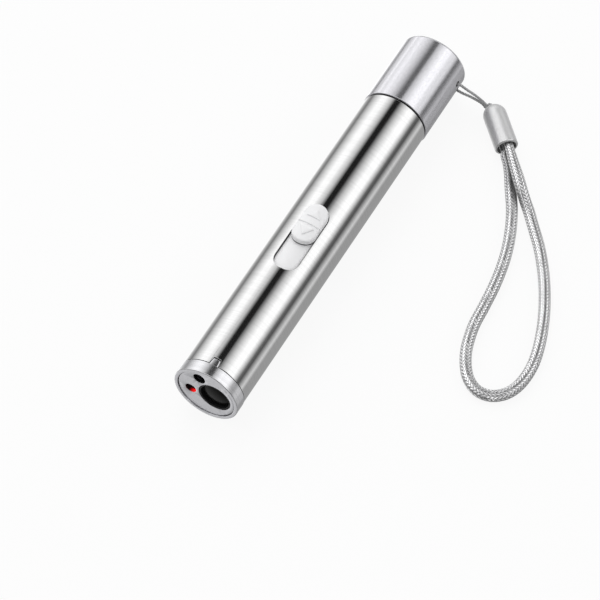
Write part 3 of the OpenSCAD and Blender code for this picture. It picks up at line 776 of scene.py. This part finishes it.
def roll(bm, radius):
    """Rolls a flat sheet into a tube, with y as the way round it."""
    slice_lengthwise(bm)
    for v in bm.verts:
        angle = v.co.y / radius
        v.co.y = (radius + v.co.z) * sin(angle)
        v.co.z = AXIS_Z + (radius + v.co.z) * cos(angle)
    bmesh.ops.remove_doubles(bm, verts=bm.verts, dist=WELD)
    bmesh.ops.recalc_face_normals(bm, faces=bm.faces)


def smooth_route(points, step):
    """Evenly spaced points on a smooth curve through given ones, in millimetres."""
    knots = [Vector(p) for p in points]
    last = len(knots) - 1
    pieces = 12  # of the curve between two knots
    fine = []
    for i in range(last):
        before, start, end, after = (knots[min(max(k, 0), last)] for k in range(i - 1, i + 3))
        handles = (start + (end - before) / 6, end - (after - start) / 6)
        fine += interpolate_bezier(start, *handles, end, pieces + 1)[:-1]
    fine.append(knots[-1])
    gone = [0.0]
    for first, second in zip(fine, fine[1:]):
        gone.append(gone[-1] + (second - first).length)
    count = ceil(gone[-1] / step)
    route = []
    k = 0
    for n in range(count + 1):
        want = gone[-1] * n / count
        while k < len(fine) - 2 and gone[k + 1] < want:
            k += 1
        share = (want - gone[k]) / (gone[k + 1] - gone[k])
        route.append(fine[k].lerp(fine[k + 1], share))
    return route, gone[-1]


def across(route, i, guide):
    """Two directions across a route at a point. guide is a direction that the route never takes."""
    heading = (route[min(i + 1, len(route) - 1)] - route[max(i - 1, 0)]).normalized()
    side = guide.cross(heading).normalized()
    return side, heading.cross(side)


def spiral(route, reach, angle, guide=Vector((0, 0, 1))):
    """A line that winds round a route: reach and angle are functions of the point's number."""
    line = []
    for i, point in enumerate(route):
        side, up = across(route, i, guide)
        line.append(point + reach(i) * (cos(angle(i)) * side + sin(angle(i)) * up))
    return line


def wound_mesh(name, lines, thickness):
    """A mesh of round yarns along lines, each of which comes with its radii."""
    curve = bpy.data.curves.new(name, "CURVE")
    curve.dimensions = "3D"
    curve.bevel_depth = thickness * MM
    curve.bevel_resolution = 1
    curve.use_fill_caps = True
    for points, radii in lines:
        spline = curve.splines.new("POLY")
        spline.points.add(len(points) - 1)
        for knot, point, radius in zip(spline.points, points, radii):
            knot.co = (*(point * MM), 1)
            knot.radius = radius / thickness
    obj = new_object(name, curve)
    graph = bpy.context.evaluated_depsgraph_get()
    mesh = bpy.data.meshes.new_from_object(obj.evaluated_get(graph), depsgraph=graph)
    bpy.data.objects.remove(obj)
    bpy.data.curves.remove(curve)
    mesh.materials.clear()
    return mesh


def add_camera(context):
    """The camera, above the head and to its side."""
    place = Vector((0.54602, 0.25585, 0.89774))
    right = Vector((-0.48952, 0.87087, 0.04412)).normalized()
    up = Vector((-0.71848, -0.43150, 0.54552)).normalized()
    camera = bpy.data.cameras.new("camera")
    camera.lens = 284.39
    camera.sensor_width = 36
    camera.clip_start = 0.01
    camera.clip_end = 50
    obj = new_object("camera", camera)
    turn = Matrix((right, up, right.cross(up))).transposed().to_4x4()
    obj.matrix_world = Matrix.Translation(place) @ turn
    context.scene.camera = obj


def add_studio(context):
    """The room that the metal mirrors. The camera sees plain white in its place."""
    world = bpy.data.worlds.new("studio")
    context.scene.world = world
    nodes = Nodes(world)
    toward = nodes.add("ShaderNodeTexCoord", output="Generated")
    way = nodes.add("ShaderNodeSeparateXYZ", None, {0: toward})
    angle = way.math("ARCTAN2", way.other("Y"), way.other("Z"))
    stops = [((degrees + 180) / 360, level) for degrees, level in PANELS]
    panels = nodes.add("ShaderNodeValToRGB", {"stops": stops}, {"Fac": angle / tau + 0.5})
    rear = 1 - way.between(*BOOM[0])
    front = way.between(*BOOM[1]) * (1 - way.between(*FRONT_END))
    height = way.other("Z")
    open_sky = (SKY_LEVEL[0] * rear + SKY_LEVEL[1] * front) * height.between(*SKY_FADE)
    behind = TABLE_LEVEL[0] * (1 - way.between(*TABLE_GAP[0]))
    before = TABLE_LEVEL[1] * front * way.between(*TABLE_GAP[1])
    open_table = (behind + before) * (1 - height.between(*TABLE_FADE))
    faded = panels * (REAR_LEFT + (1 - REAR_LEFT) * way.between(*REAR_DIM))
    from_room = nodes.distance(toward, DARK_ROOM).between(*ROOM_FADE)
    ends = (ROOM_LEFT + (1 - ROOM_LEFT) * from_room) * (1 - (1 - END_LEFT) * way.between(*DARK_END))
    room = way.math("MAXIMUM", faded, open_sky + open_table) * ends
    seen = nodes.seen()
    level = seen + (1 - seen) * (STUDIO_LEVEL * room)
    light = nodes.add("ShaderNodeBackground", None, {"Color": (1, 1, 1, 1), "Strength": level})
    nodes.add("ShaderNodeOutputWorld", None, {"Surface": light})


def add_table():
    """A white table that takes the object's shadow, and that the metal doesn't mirror."""
    bm = bmesh.new()
    bmesh.ops.create_grid(bm, x_segments=1, y_segments=1, size=4)
    mesh = new_mesh("table", bm)
    nodes = new_finish("table_white")
    seen = nodes.seen()
    matt = nodes.add("ShaderNodeBsdfDiffuse", None, {"Color": (0.86, 0.86, 0.86, 1)})
    white = nodes.add("ShaderNodeEmission", None, {"Color": (1, 1, 1, 1), "Strength": 1.0})
    both = nodes.add("ShaderNodeMixShader", None, {0: seen * TABLE_WHITE, 1: matt, 2: white})
    nodes.add("ShaderNodeOutputMaterial", None, {"Surface": both})
    mesh.materials.append(nodes.owner)
    obj = new_object("table", mesh)
    obj.visible_glossy = False


def add_lamps():
    """Two soft lamps that the metal doesn't mirror."""
    for name, place, size, power in (
        ("key_lamp", (-0.5, -0.55, 1.1), 0.9, 4.8),
        ("fill_lamp", (0.7, 0.9, 0.8), 0.9, 0.4),
    ):
        lamp = bpy.data.lights.new(name, "AREA")
        lamp.size = size
        lamp.energy = power
        obj = new_object(name, lamp)
        obj.location = place
        obj.rotation_euler = Vector(place).to_track_quat("Z", "Y").to_euler()
        obj.visible_glossy = False


def add_strips():
    """Long lamps along the barrel, each of which lights one piece."""
    along = Vector((1, 0, 0))
    for piece, node, back, rows in STRIPS:
        centre = Vector((middle(node).x * MM - back * STRIP_AWAY, 0, AXIS_Z * MM))
        for start, end, level in rows:
            turn = radians((start + end) / 2)
            outward = Vector((0, sin(turn), cos(turn)))
            lamp = bpy.data.lights.new("strip", "AREA")
            lamp.shape = "RECTANGLE"
            lamp.size = 2 * STRIP_AWAY * tan(radians((end - start) / 2))
            lamp.size_y = STRIP_LONG
            lamp.energy = level * pi * lamp.size * STRIP_LONG
            obj = new_object("strip", lamp)
            axes = Matrix((along.cross(outward), along, outward)).transposed().to_4x4()
            obj.matrix_world = Matrix.Translation(centre + STRIP_AWAY * outward) @ axes
            obj.light_linking.receiver_collection = lit_alone(piece)


class POINTER_OT_stage(bpy.types.Operator):
    """Set the camera, the studio and the table"""

    bl_idname = "pointer.stage"
    bl_label = "Studio"

    def execute(self, context):
        make_finishes(context)
        add_camera(context)
        add_studio(context)
        add_table()
        add_lamps()
        add_strips()
        return {"FINISHED"}


def make_ferrule(s):
    outer = s["ferrule_d"] / 2
    bore = outer - s["ferrule_wall"]
    hole = 1.2 * s["string_d"]
    floor = 5.0
    tip = Vector((-52.1, 16.1, outer))
    heading = 45
    mouth_edge, lip_edge, floor_edge = 0.35, 0.14, 0.4
    steps = 12
    start = asin(hole / outer)
    dome = [
        (outer - outer * cos(a), outer * sin(a), 0)
        for a in (start + (pi / 2 - start) * k / steps for k in range(steps + 1))
    ]
    bm = turned((
        *dome, (s["ferrule_len"], outer, mouth_edge), (s["ferrule_len"], bore, lip_edge),
        (floor, bore, floor_edge), (floor, hole, 0),
    ), True, (0, 0))
    # Painted shade: the bore inside the ferrule's mouth takes black plastic, for the shade inside it.
    paint(bm, 1, lambda face, spot: spot.x > floor - 0.1 and spot.yz.length < bore + 0.03)
    place = Matrix.Translation(tip) @ Matrix.Rotation(radians(heading), 4, "Z")
    bmesh.ops.transform(bm, matrix=place, verts=bm.verts)
    obj = finish_piece("ferrule", bm, "cap", "ferrule_grey", ["cord_ferrule"], extra=["black_plastic"])
    obj.visible_glossy = False
    return obj


def make_string(s):
    x_mid = box_mm("rear_cap")[0].x + s["eyelet_inset"]
    outside = box_mm("rear_cap")[1].y
    inside = outside - s["cap_wall"]
    lean = asin(s["eyelet_pitch"] / 2 / outside)
    clear = outside + s["string_d"]
    leave, back = ((x_mid, clear * cos(lean), AXIS_Z + side * clear * sin(lean)) for side in (1, -1))
    turn = [
        (x_mid, inside * (cos(lean) - sin(lean) * sin(a)), AXIS_Z + inside * sin(lean) * cos(a))
        for a in (radians(30 * k) for k in range(7))
    ]
    points = (*REAR_STRAND, leave, *turn, back, *FRONT_STRAND)
    step = 0.15
    route, total = smooth_route(points, step)
    plies = 3
    ply = 0.27 * s["string_d"]
    lines = []
    for k in range(plies):
        line = spiral(
            route, lambda i: s["string_d"] / 2 - ply,
            lambda i: tau * (k / plies + i * step / s["string_pitch"]), Vector((1, 0, 0)),
        )
        lines.append((line, [ply] * len(route)))
    mesh = wound_mesh("string", lines, ply)
    obj = finish_mesh("string", mesh, "cap", "string_grey", ["lanyard_string"], sharp=80)
    obj.visible_glossy = False
    tuple(route[0] * MM)
    total * MM
    s["string_d"] * MM
    [tuple(p * MM) for p in route]


def make_cord(s):
    step = 0.26
    route, total = smooth_route(CORD_ROUTE, step)
    last = len(route) - 1
    # The ferrule grips the cord to a share of its diameter, over a length from its end, and the
    # cord eases back to its full size over another.
    grip = 0.74
    held = 6.5
    ease = 9.0

    def from_end(i):
        return min(i, last - i) * total / last

    def squeeze(i):
        return min(1, grip + (1 - grip) * max(0, from_end(i) - held) / ease)

    yarn = s["yarn_d"] / 2
    wave = s["yarn_wave"]
    mean = s["cord_d"] / 2 - yarn - wave
    count = int(s["yarns"])
    lines = [(route, [squeeze(i) * mean for i in range(last + 1)])]
    for way in (1, -1):
        for k in range(count):
            crossing = [2 * count * i * total / last / s["braid_pitch"] for i in range(last + 1)]
            lift = [way * cos(pi / 2 * (2 * k + way * n - 0.5)) for n in crossing]
            line = spiral(
                route, lambda i: squeeze(i) * (mean + wave * lift[i]),
                lambda i: tau * k / count + way * pi * crossing[i] / count,
            )
            lines.append((line, [squeeze(i) * yarn for i in range(last + 1)]))
    mesh = wound_mesh("braid", lines, yarn)
    mark_relief(mesh, route, from_end, lambda i: squeeze(i) * s["cord_d"] / 2)
    obj = finish_mesh("braid", mesh, "cap", "cord_silver", ["wrist_cord"], sharp=80)
    tuple(route[0] * MM)
    total * MM
    s["cord_d"] * MM
    [tuple(p * MM) for p in route]
    obj.visible_glossy = False


def mark_relief(mesh, route, from_end, reach):
    """Flattens the yarns, and keeps two values for each point, from which the yarn's finish paints shade:
    relief, its share of the cord's radius, tells the yarns' tops from the grooves, and room is its distance
    from the ferrule's mouth and from the cord's other strand."""
    flat = 0.18
    mouth = 6.0
    clear = 0.8
    whole, out, home = (KDTree(len(route)) for _ in range(3))
    third = len(route) // 3
    for i, point in enumerate(route):
        whole.insert(point, i)
        if i < third:
            out.insert(point, i)
        elif i > 2 * third:
            home.insert(point, i)
    for tree in (whole, out, home):
        tree.balance()
    relief = mesh.attributes.new("relief", "FLOAT", "POINT")
    room = mesh.attributes.new("room", "FLOAT", "POINT")
    for vert, share, free in zip(mesh.vertices, relief.data, room.data):
        centre, i, away = whole.find(vert.co / MM)
        share.value = away / reach(i)
        level = 1 - flat * (1 - share.value)
        spot = centre + (vert.co / MM - centre) * level / share.value
        vert.co = spot * MM
        free.value = (from_end(i) - mouth) / clear
        if not third <= i <= 2 * third:
            _, j, gap = (home if i < third else out).find(spot)
            free.value = min(free.value, gap / reach(j) - 1)


class POINTER_OT_strap(bpy.types.Operator):
    """Braid the wrist cord, twist the string and turn the ferrule"""

    bl_idname = "pointer.strap"
    bl_label = "Wrist strap"

    def execute(self, context):
        s = sizes(context)
        ferrule = make_ferrule(s)
        make_string(s)
        make_cord(s)
        return {"FINISHED"}


def half_sheet(s):
    """One half of the flat sheet, from the top of the barrel to its underside."""
    button_lo, button_hi = box_mm("thumb_button")
    gap = s["button_gap"]
    slot = (button_lo.x - gap, button_hi.x + TRAVEL + gap)
    half = BARREL_R * asin((button_hi.y + gap) / BARREL_R)
    notch = BARREL_HI.x - s["key_len"] - s["key_end_gap"]
    tip = s["key_tip"] / 2 + s["key_gap"]
    root = s["key_root"] / 2 + s["key_gap"]
    under = pi * BARREL_R
    bm = flat_shape((
        (BARREL_LO.x, 0), (slot[0], 0), (slot[0], half), (slot[1], half), (slot[1], 0), (notch, 0),
        (notch, tip), (BARREL_HI.x, root), (BARREL_HI.x, under), (BARREL_LO.x, under),
    ))
    bm.verts.ensure_lookup_table()
    slot_corners = bm.verts[2:4]
    notch_corner = bm.verts[6]
    notch_round = 0.25
    round_corners(bm, slot_corners, half - WELD, 3 * ARC_STEPS)
    round_corners(bm, [notch_corner], notch_round)
    return bm


class POINTER_OT_barrel(bpy.types.Operator):
    """Roll the steel barrel with its switch slot and key notch"""

    bl_idname = "pointer.barrel"
    bl_label = "Barrel"

    def execute(self, context):
        s = sizes(context)
        bm = half_sheet(s)
        slice_lengthwise(bm)
        bmesh.ops.mirror(
            bm, geom=bm.verts[:] + bm.edges[:] + bm.faces[:], matrix=Matrix(), merge_dist=WELD, axis="Y"
        )
        roll(bm, BARREL_R)
        bmesh.ops.solidify(bm, geom=bm.faces[:], thickness=s["barrel_wall"])
        outer = [
            e for e in sharp_edges(bm)
            if all(off_axis(v.co) > BARREL_R - s["soft_edge"] for v in e.verts)
        ]
        round_edges(bm, outer, s["soft_edge"])

        # Painted shade: the walls of the slot and the notch and the front end take near black steel, for
        # the shade in the slot and in the joint; the walls beside the key stay bright.
        def is_cut(face, spot):
            outward = Vector((0, spot.y, spot.z - AXIS_Z)).normalized()
            beside_key = spot.x > BARREL_HI.x - s["key_len"] and abs(face.normal.y) > abs(face.normal.x)
            return spot.x > BARREL_LO.x + 1 and abs(face.normal.dot(outward)) < 0.4 and not beside_key

        paint(bm, 1, is_cut)
        finish_piece("barrel_shell", bm, "barrel", "barrel_steel", ["barrel_tube"], extra=["cut_steel"])
        return {"FINISHED"}


def make_ring(s):
    low, high = box_mm("head_ring")
    face_back = box_mm("face_plate")[0].x
    spigot = BARREL_R - s["barrel_wall"] - SLIP
    outer = radius_of("head_ring")
    seat = outer - s["rim_wall"]
    ledge = 0.3
    bore = seat - ledge
    shoulder = BARREL_HI.x + s["joint_gap"]
    edge = s["soft_edge"]
    ring = turned((
        (low.x, bore, EDGE), (low.x, spigot, 2 * EDGE), (shoulder, spigot, 0), (shoulder, outer, edge),
        (high.x, outer, s["rim_edge"]), (high.x, seat, FINE), (face_back, seat, 0), (face_back, bore, 0),
    ), True)
    tip, root = s["key_tip"] / 2, s["key_root"] / 2
    end = BARREL_HI.x - s["key_len"]
    base = shoulder + 0.4
    thick = 0.9
    crown_round = 0.2
    key = flat_shape(((base, -root), (base, root), (end, tip), (end, -tip)))
    shift(key, 0, 0, -thick)
    top = thicken(key, (0, 0, thick))
    crown = [
        e for e in sharp_edges(key)
        if any(v in top for v in e.verts) and min(v.co.x for v in e.verts) < shoulder
    ]
    round_edges(key, crown, crown_round, 4)
    drape(key, BARREL_R)
    # Painted shade: the faces at the joint with the barrel take near black steel, for the shade in the
    # joint's gap.
    paint(ring, 2, lambda face, spot: spot.x < shoulder + edge and off_axis(spot) < outer - edge)
    paint(ring, 1, lambda face, spot: face.normal.x > 0.95 and spot.x > high.x - edge)
    extra = ["face_aluminium", "cut_steel"]
    finish_piece("head_shell", joined(ring, key), "barrel", "head_aluminium", ["head_ring"], extra=extra)


def make_face(s):
    low, high = box_mm("face_plate")
    plain, lit = 1, 2
    wells = (
        (middle("torch_cup").yz, s["torch_d"] / 2, plain),
        (middle("laser_barrel").yz, s["laser_d"] / 2, lit),
        (middle("uv_led").yz, s["uv_d"] / 2, plain),
    )
    bm = bmesh.new()
    add_circle(bm, (high.y - low.y) / 2 - s["face_gap"], (0, AXIS_Z))
    for centre, radius, _ in wells:
        add_circle(bm, radius, centre)
    pierced_plate(bm, low.x, high.x, s["soft_edge"] / 2)
    # Painted shade: the walls of the openings are made black for the shade in them, and the laser's wall
    # also takes the painted red light.
    for centre, radius, number in wells:
        paint(
            bm, number, lambda face, spot:
            abs(face.normal.x) < 0.3 and (spot.yz - centre).length < radius + TOUCH
        )
    walls = ["black_plastic", "lamp_well"]
    finish_piece("face", bm, "barrel", "face_aluminium", ["face_plate"], extra=walls)


class POINTER_OT_head(bpy.types.Operator):
    """Turn the head ring with its key, and pierce the face plate"""

    bl_idname = "pointer.head"
    bl_label = "Head"

    def execute(self, context):
        s = sizes(context)
        make_ring(s)
        make_face(s)
        return {"FINISHED"}


def make_cup():
    low, high = box_mm("torch_cup")
    lens_back = box_mm("torch_lens")[0].x
    outer = radius_of("torch_cup")
    bore = radius_of("torch_lens") + SLIP
    lamp_hole = 2.4
    ledge = 0.3
    bm = turned((
        (low.x, lamp_hole, 0), (low.x, outer, EDGE), (high.x, outer, FINE), (high.x, bore, 2 * FINE),
        (lens_back, bore, 0), (lens_back, bore - ledge, 0),
    ), True, middle("torch_cup").yz)
    finish_piece("torch_well", bm, "barrel", "black_plastic", ["torch_cup"])


def make_lens():
    low, high = box_mm("torch_lens")
    radius = radius_of("torch_lens")
    crown = 0.5
    ball = (radius ** 2 + crown ** 2) / (2 * crown)
    steps = 10
    reach = asin(radius / ball)
    dome = [
        (high.x - ball + ball * cos(reach * k / steps), ball * sin(reach * k / steps), 0)
        for k in range(steps, -1, -1)
    ]
    bm = turned([(low.x, 0, 0), (low.x, radius, EDGE), *dome], False, middle("torch_lens").yz)
    finish_piece("torch_glass", bm, "barrel", "lens_glass", ["torch_lens"])


def make_uv():
    low, high = box_mm("uv_led")
    foot = high.x - 4.5
    body = 1.45
    collar = radius_of("uv_led")
    collar_end = foot + 0.8
    lead, lead_side, lead_in = 0.225, 0.635, 0.5
    lamp = middle("uv_led").yz
    bm = turned((
        (foot, 0, 0), (foot, collar, EDGE), (collar_end, collar, 1.5 * EDGE), (collar_end, body, 0),
        (high.x, body, body - WELD), (high.x, 0, 0),
    ), False, lamp)
    leads = [
        rod(low.x, foot + lead_in, lead, (lamp.x + side * lead_side, lamp.y), 16) for side in (-1, 1)
    ]
    finish_piece("uv_lamp", joined(bm, *leads), "barrel", "uv_resin", ["uv_led"])


class POINTER_OT_lamps(bpy.types.Operator):
    """Turn the torch's cup and lens and the ultraviolet lamp"""

    bl_idname = "pointer.lamps"
    bl_label = "Lamps"

    def execute(self, context):
        make_cup()
        make_lens()
        make_uv()
        return {"FINISHED"}


def make_button(s):
    low, high = box_mm("thumb_button")
    plate = box_mm("slider_plate")[1].z - AXIS_Z
    rise = high.z - AXIS_Z - BARREL_R
    bm = flat_slot(low.x, high.x, high.y)
    bottom = plate - BARREL_R + s["button_lift"]
    shift(bm, 0, 0, bottom)
    top = thicken(bm, (0, 0, rise - bottom))
    round_edges(bm, top_edges(bm, top), s["button_round"], ARC_STEPS)
    bm = joined(bm, *button_marks(s, (low.x + high.x) / 2 + s["mark_line"], high.y, rise))
    # Painted shade: a dark stem stands under the button, for the shade in the gap between the button and
    # its plate.
    stem = flat_slot(low.x + SLIP, high.x - SLIP, high.y - SLIP)
    sunk, risen = 0.3, 0.2
    shift(stem, 0, 0, plate - BARREL_R - sunk)
    thicken(stem, (0, 0, sunk + s["button_lift"] + risen))
    paint(stem, 1, lambda face, spot: True)
    bm = joined(bm, stem)
    drape(bm, BARREL_R)
    extra = ["carrier_plastic"]
    finish_piece("button", bm, "switch", "switch_white", ["thumb_button"], extra=extra, sharp=40)


def button_marks(s, x_mid, half, rise):
    """A divider and two arrows that point away from it, standing on the button."""
    line = s["mark_line"] / 2
    reach = half - line
    ends = (x_mid - line, x_mid + line)
    shapes = [flat_shape(((ends[0], -reach), (ends[1], -reach), (ends[1], reach), (ends[0], reach)))]
    wide = s["arrow_w"] / 2
    rear_base, front_base = x_mid - 1.85, x_mid + 0.95
    for base, way in ((rear_base, -1), (front_base, 1)):
        shapes.append(flat_shape(((base, wide), (base + way * s["arrow_l"], 0), (base, -wide))))
    sunk = 0.2
    for shape in shapes:
        shift(shape, 0, 0, rise - sunk)
        top = thicken(shape, (0, 0, sunk + s["mark_rise"]))
        round_edges(shape, top_edges(shape, top), 1.1 * s["mark_rise"], 3)
    return shapes


def make_plate():
    low, high = box_mm("slider_plate")
    outer = high.z - AXIS_Z
    thick = 0.9
    bm = flat_shape(((low.x, low.y), (high.x, low.y), (high.x, high.y), (low.x, high.y)))
    shift(bm, 0, 0, -thick)
    thicken(bm, (0, 0, thick))
    round_edges(bm, sharp_edges(bm), 1.5 * EDGE, 3)
    drape(bm, outer)
    finish_piece("slide_plate", bm, "switch", "switch_white", ["slider_plate"])


class POINTER_OT_switch(bpy.types.Operator):
    """Mould the thumb button with its marks, and the plate that slides under it"""

    bl_idname = "pointer.switch"
    bl_label = "Slide switch"

    def execute(self, context):
        s = sizes(context)
        make_button(s)
        make_plate()
        return {"FINISHED"}


def make_cap(s):
    low, high = box_mm("rear_cap")
    outer = radius_of("rear_cap")
    bore = outer - s["cap_wall"]
    floor = low.x + 1.0
    front_edge = 0.22
    x_mid = low.x + s["eyelet_inset"]
    reach = 0.7 * s["eyelet_d"]
    x0, x1 = x_mid - reach, x_mid + reach
    bm = turned((
        (low.x, 0, 0), (low.x, outer, s["cap_edge"]), (x0, outer, 0), (x1, outer, 0),
        (high.x, outer, front_edge), (high.x, bore, EDGE), (x1, bore, 0), (x0, bore, 0),
        (floor, bore, 2 * EDGE), (floor, 0, 0),
    ), False)
    lean = asin(s["eyelet_pitch"] / 2 / outer)
    for side in (-1, 1):
        tool = rod(0, 2 * outer, s["eyelet_d"] / 2, (0, 0), 32)
        turn = Matrix.Rotation(side * lean, 4, "X") @ Matrix.Rotation(pi / 2, 4, "Z")
        place = Matrix.Translation((x_mid, 0, AXIS_Z))
        bmesh.ops.transform(tool, matrix=place @ turn, verts=tool.verts)
        bm = cut(bm, tool)
    # Painted shade: the eyelets' walls take near black steel, for the shade in the holes.
    paint(bm, 1, lambda face, spot: x0 < spot.x < x1 and bore + TOUCH < off_axis(spot) < outer - TOUCH)
    finish_piece("cap_shell", bm, "cap", "cap_aluminium", ["rear_cap"], extra=["cut_steel"])


def make_collar(s):
    low, high = box_mm("tail_collar")
    plug_lo, plug_hi = box_mm("usb_shell")
    flange = radius_of("tail_collar")
    cap_front = box_mm("rear_cap")[1].x
    overlap = 0.1
    stages = (
        (low.x, cap_front + overlap, flange - 0.45),
        (cap_front, BARREL_LO.x, flange),
        (BARREL_LO.x - overlap, high.x, BARREL_R - s["barrel_wall"] - SLIP),
    )
    steps = []
    for x0, x1, radius in stages:
        bm = bmesh.new()
        add_circle(bm, radius, (0, AXIS_Z))
        ys = (plug_lo.y - SLIP, plug_hi.y + SLIP)
        zs = (plug_lo.z - SLIP, plug_hi.z + SLIP)
        add_outline(bm, [(0, ys[i], zs[j]) for i, j in ((0, 0), (1, 0), (1, 1), (0, 1))])
        steps.append(pierced_plate(bm, x0, x1, FINE))
    finish_piece("collar", joined(*steps), "barrel", "black_plastic", ["tail_collar"])


def make_plug(s):
    low, high = box_mm("usb_shell")
    bm = bmesh.new()
    bmesh.ops.create_cube(bm, size=1)
    bmesh.ops.scale(bm, vec=high - low, verts=bm.verts)
    shift(bm, *middle("usb_shell"))
    lengthwise = [e for e in bm.edges if abs(e.verts[0].co.x - e.verts[1].co.x) > 1]
    round_edges(bm, lengthwise, s["plug_edge"], 4)
    ends = [f for f in bm.faces if abs(f.normal.x) > 0.9]
    bmesh.ops.delete(bm, geom=ends, context="FACES")
    window_x = (low.x + 5, low.x + 7.5)
    window_y = (1.3, 3.3)
    cuts = [((x, 0, 0), (1, 0, 0)) for x in window_x]
    cuts += [((0, side * y, 0), (0, 1, 0)) for y in window_y for side in (-1, 1)]
    for spot, way in cuts:
        slice_at(bm, spot, way)
    openings = []
    for face in bm.faces:
        spot = face.calc_center_median()
        if abs(face.normal.z) > 0.9 and window_x[0] < spot.x < window_x[1]:
            if window_y[0] < abs(spot.y) < window_y[1]:
                openings.append(face)
    bmesh.ops.delete(bm, geom=openings, context="FACES")
    bmesh.ops.recalc_face_normals(bm, faces=bm.faces)
    bmesh.ops.solidify(bm, geom=bm.faces[:], thickness=s["plug_wall"])
    finish_piece("plug_shell", bm, "barrel", "plated_steel", ["usb_shell"])


class POINTER_OT_tail(bpy.types.Operator):
    """Turn the tail cap, and make the collar and the charging plug under it"""

    bl_idname = "pointer.tail"
    bl_label = "Tail"

    def execute(self, context):
        s = sizes(context)
        make_cap(s)
        make_collar(s)
        make_plug(s)
        return {"FINISHED"}


class POINTER_OT_inside(bpy.types.Operator):
    """Give the pieces inside the barrel their finishes"""

    bl_idname = "pointer.inside"
    bl_label = "Inside"

    def execute(self, context):
        for obj in frame["nodes"].values():
            for slot in obj.material_slots:
                slot.material = FINISHES[slot.material.name.split(".")[0]]
        return {"FINISHED"}


OPERATORS = (
    POINTER_OT_stage, POINTER_OT_strap, POINTER_OT_barrel, POINTER_OT_head, POINTER_OT_lamps,
    POINTER_OT_switch, POINTER_OT_tail, POINTER_OT_inside,
)


class POINTER_PT_panel(bpy.types.Panel):
    """Lists the sizes, the colours and the steps"""

    bl_idname = "POINTER_PT_panel"
    bl_label = "Pocket cat pointer"
    bl_space_type = "VIEW_3D"
    bl_region_type = "UI"
    bl_category = "Pointer"

    def draw(self, context):
        for group in (context.scene.pointer_sizes, context.scene.pointer_colours):
            box = self.layout.box()
            for name in group.__annotations__:
                box.prop(group, name)
        for operator in OPERATORS:
            self.layout.operator(operator.bl_idname)


CLASSES = (PointerSizes, PointerColours, *OPERATORS, POINTER_PT_panel)


def register():
    for item in CLASSES:
        bpy.utils.register_class(item)
    bpy.types.Scene.pointer_sizes = PointerProperty(type=PointerSizes)
    bpy.types.Scene.pointer_colours = PointerProperty(type=PointerColours)


def unregister():
    del bpy.types.Scene.pointer_colours
    del bpy.types.Scene.pointer_sizes
    for item in reversed(CLASSES):
        bpy.utils.unregister_class(item)


def main():
    register()
    bpy.context.scene.view_settings.view_transform = "Standard"
    bpy.ops.pointer.stage()
    bpy.ops.pointer.strap()
    bpy.ops.pointer.barrel()
    bpy.ops.pointer.head()
    bpy.ops.pointer.lamps()
    bpy.ops.pointer.switch()
    bpy.ops.pointer.tail()
    bpy.ops.pointer.inside()


if __name__ == "__main__":
    main()
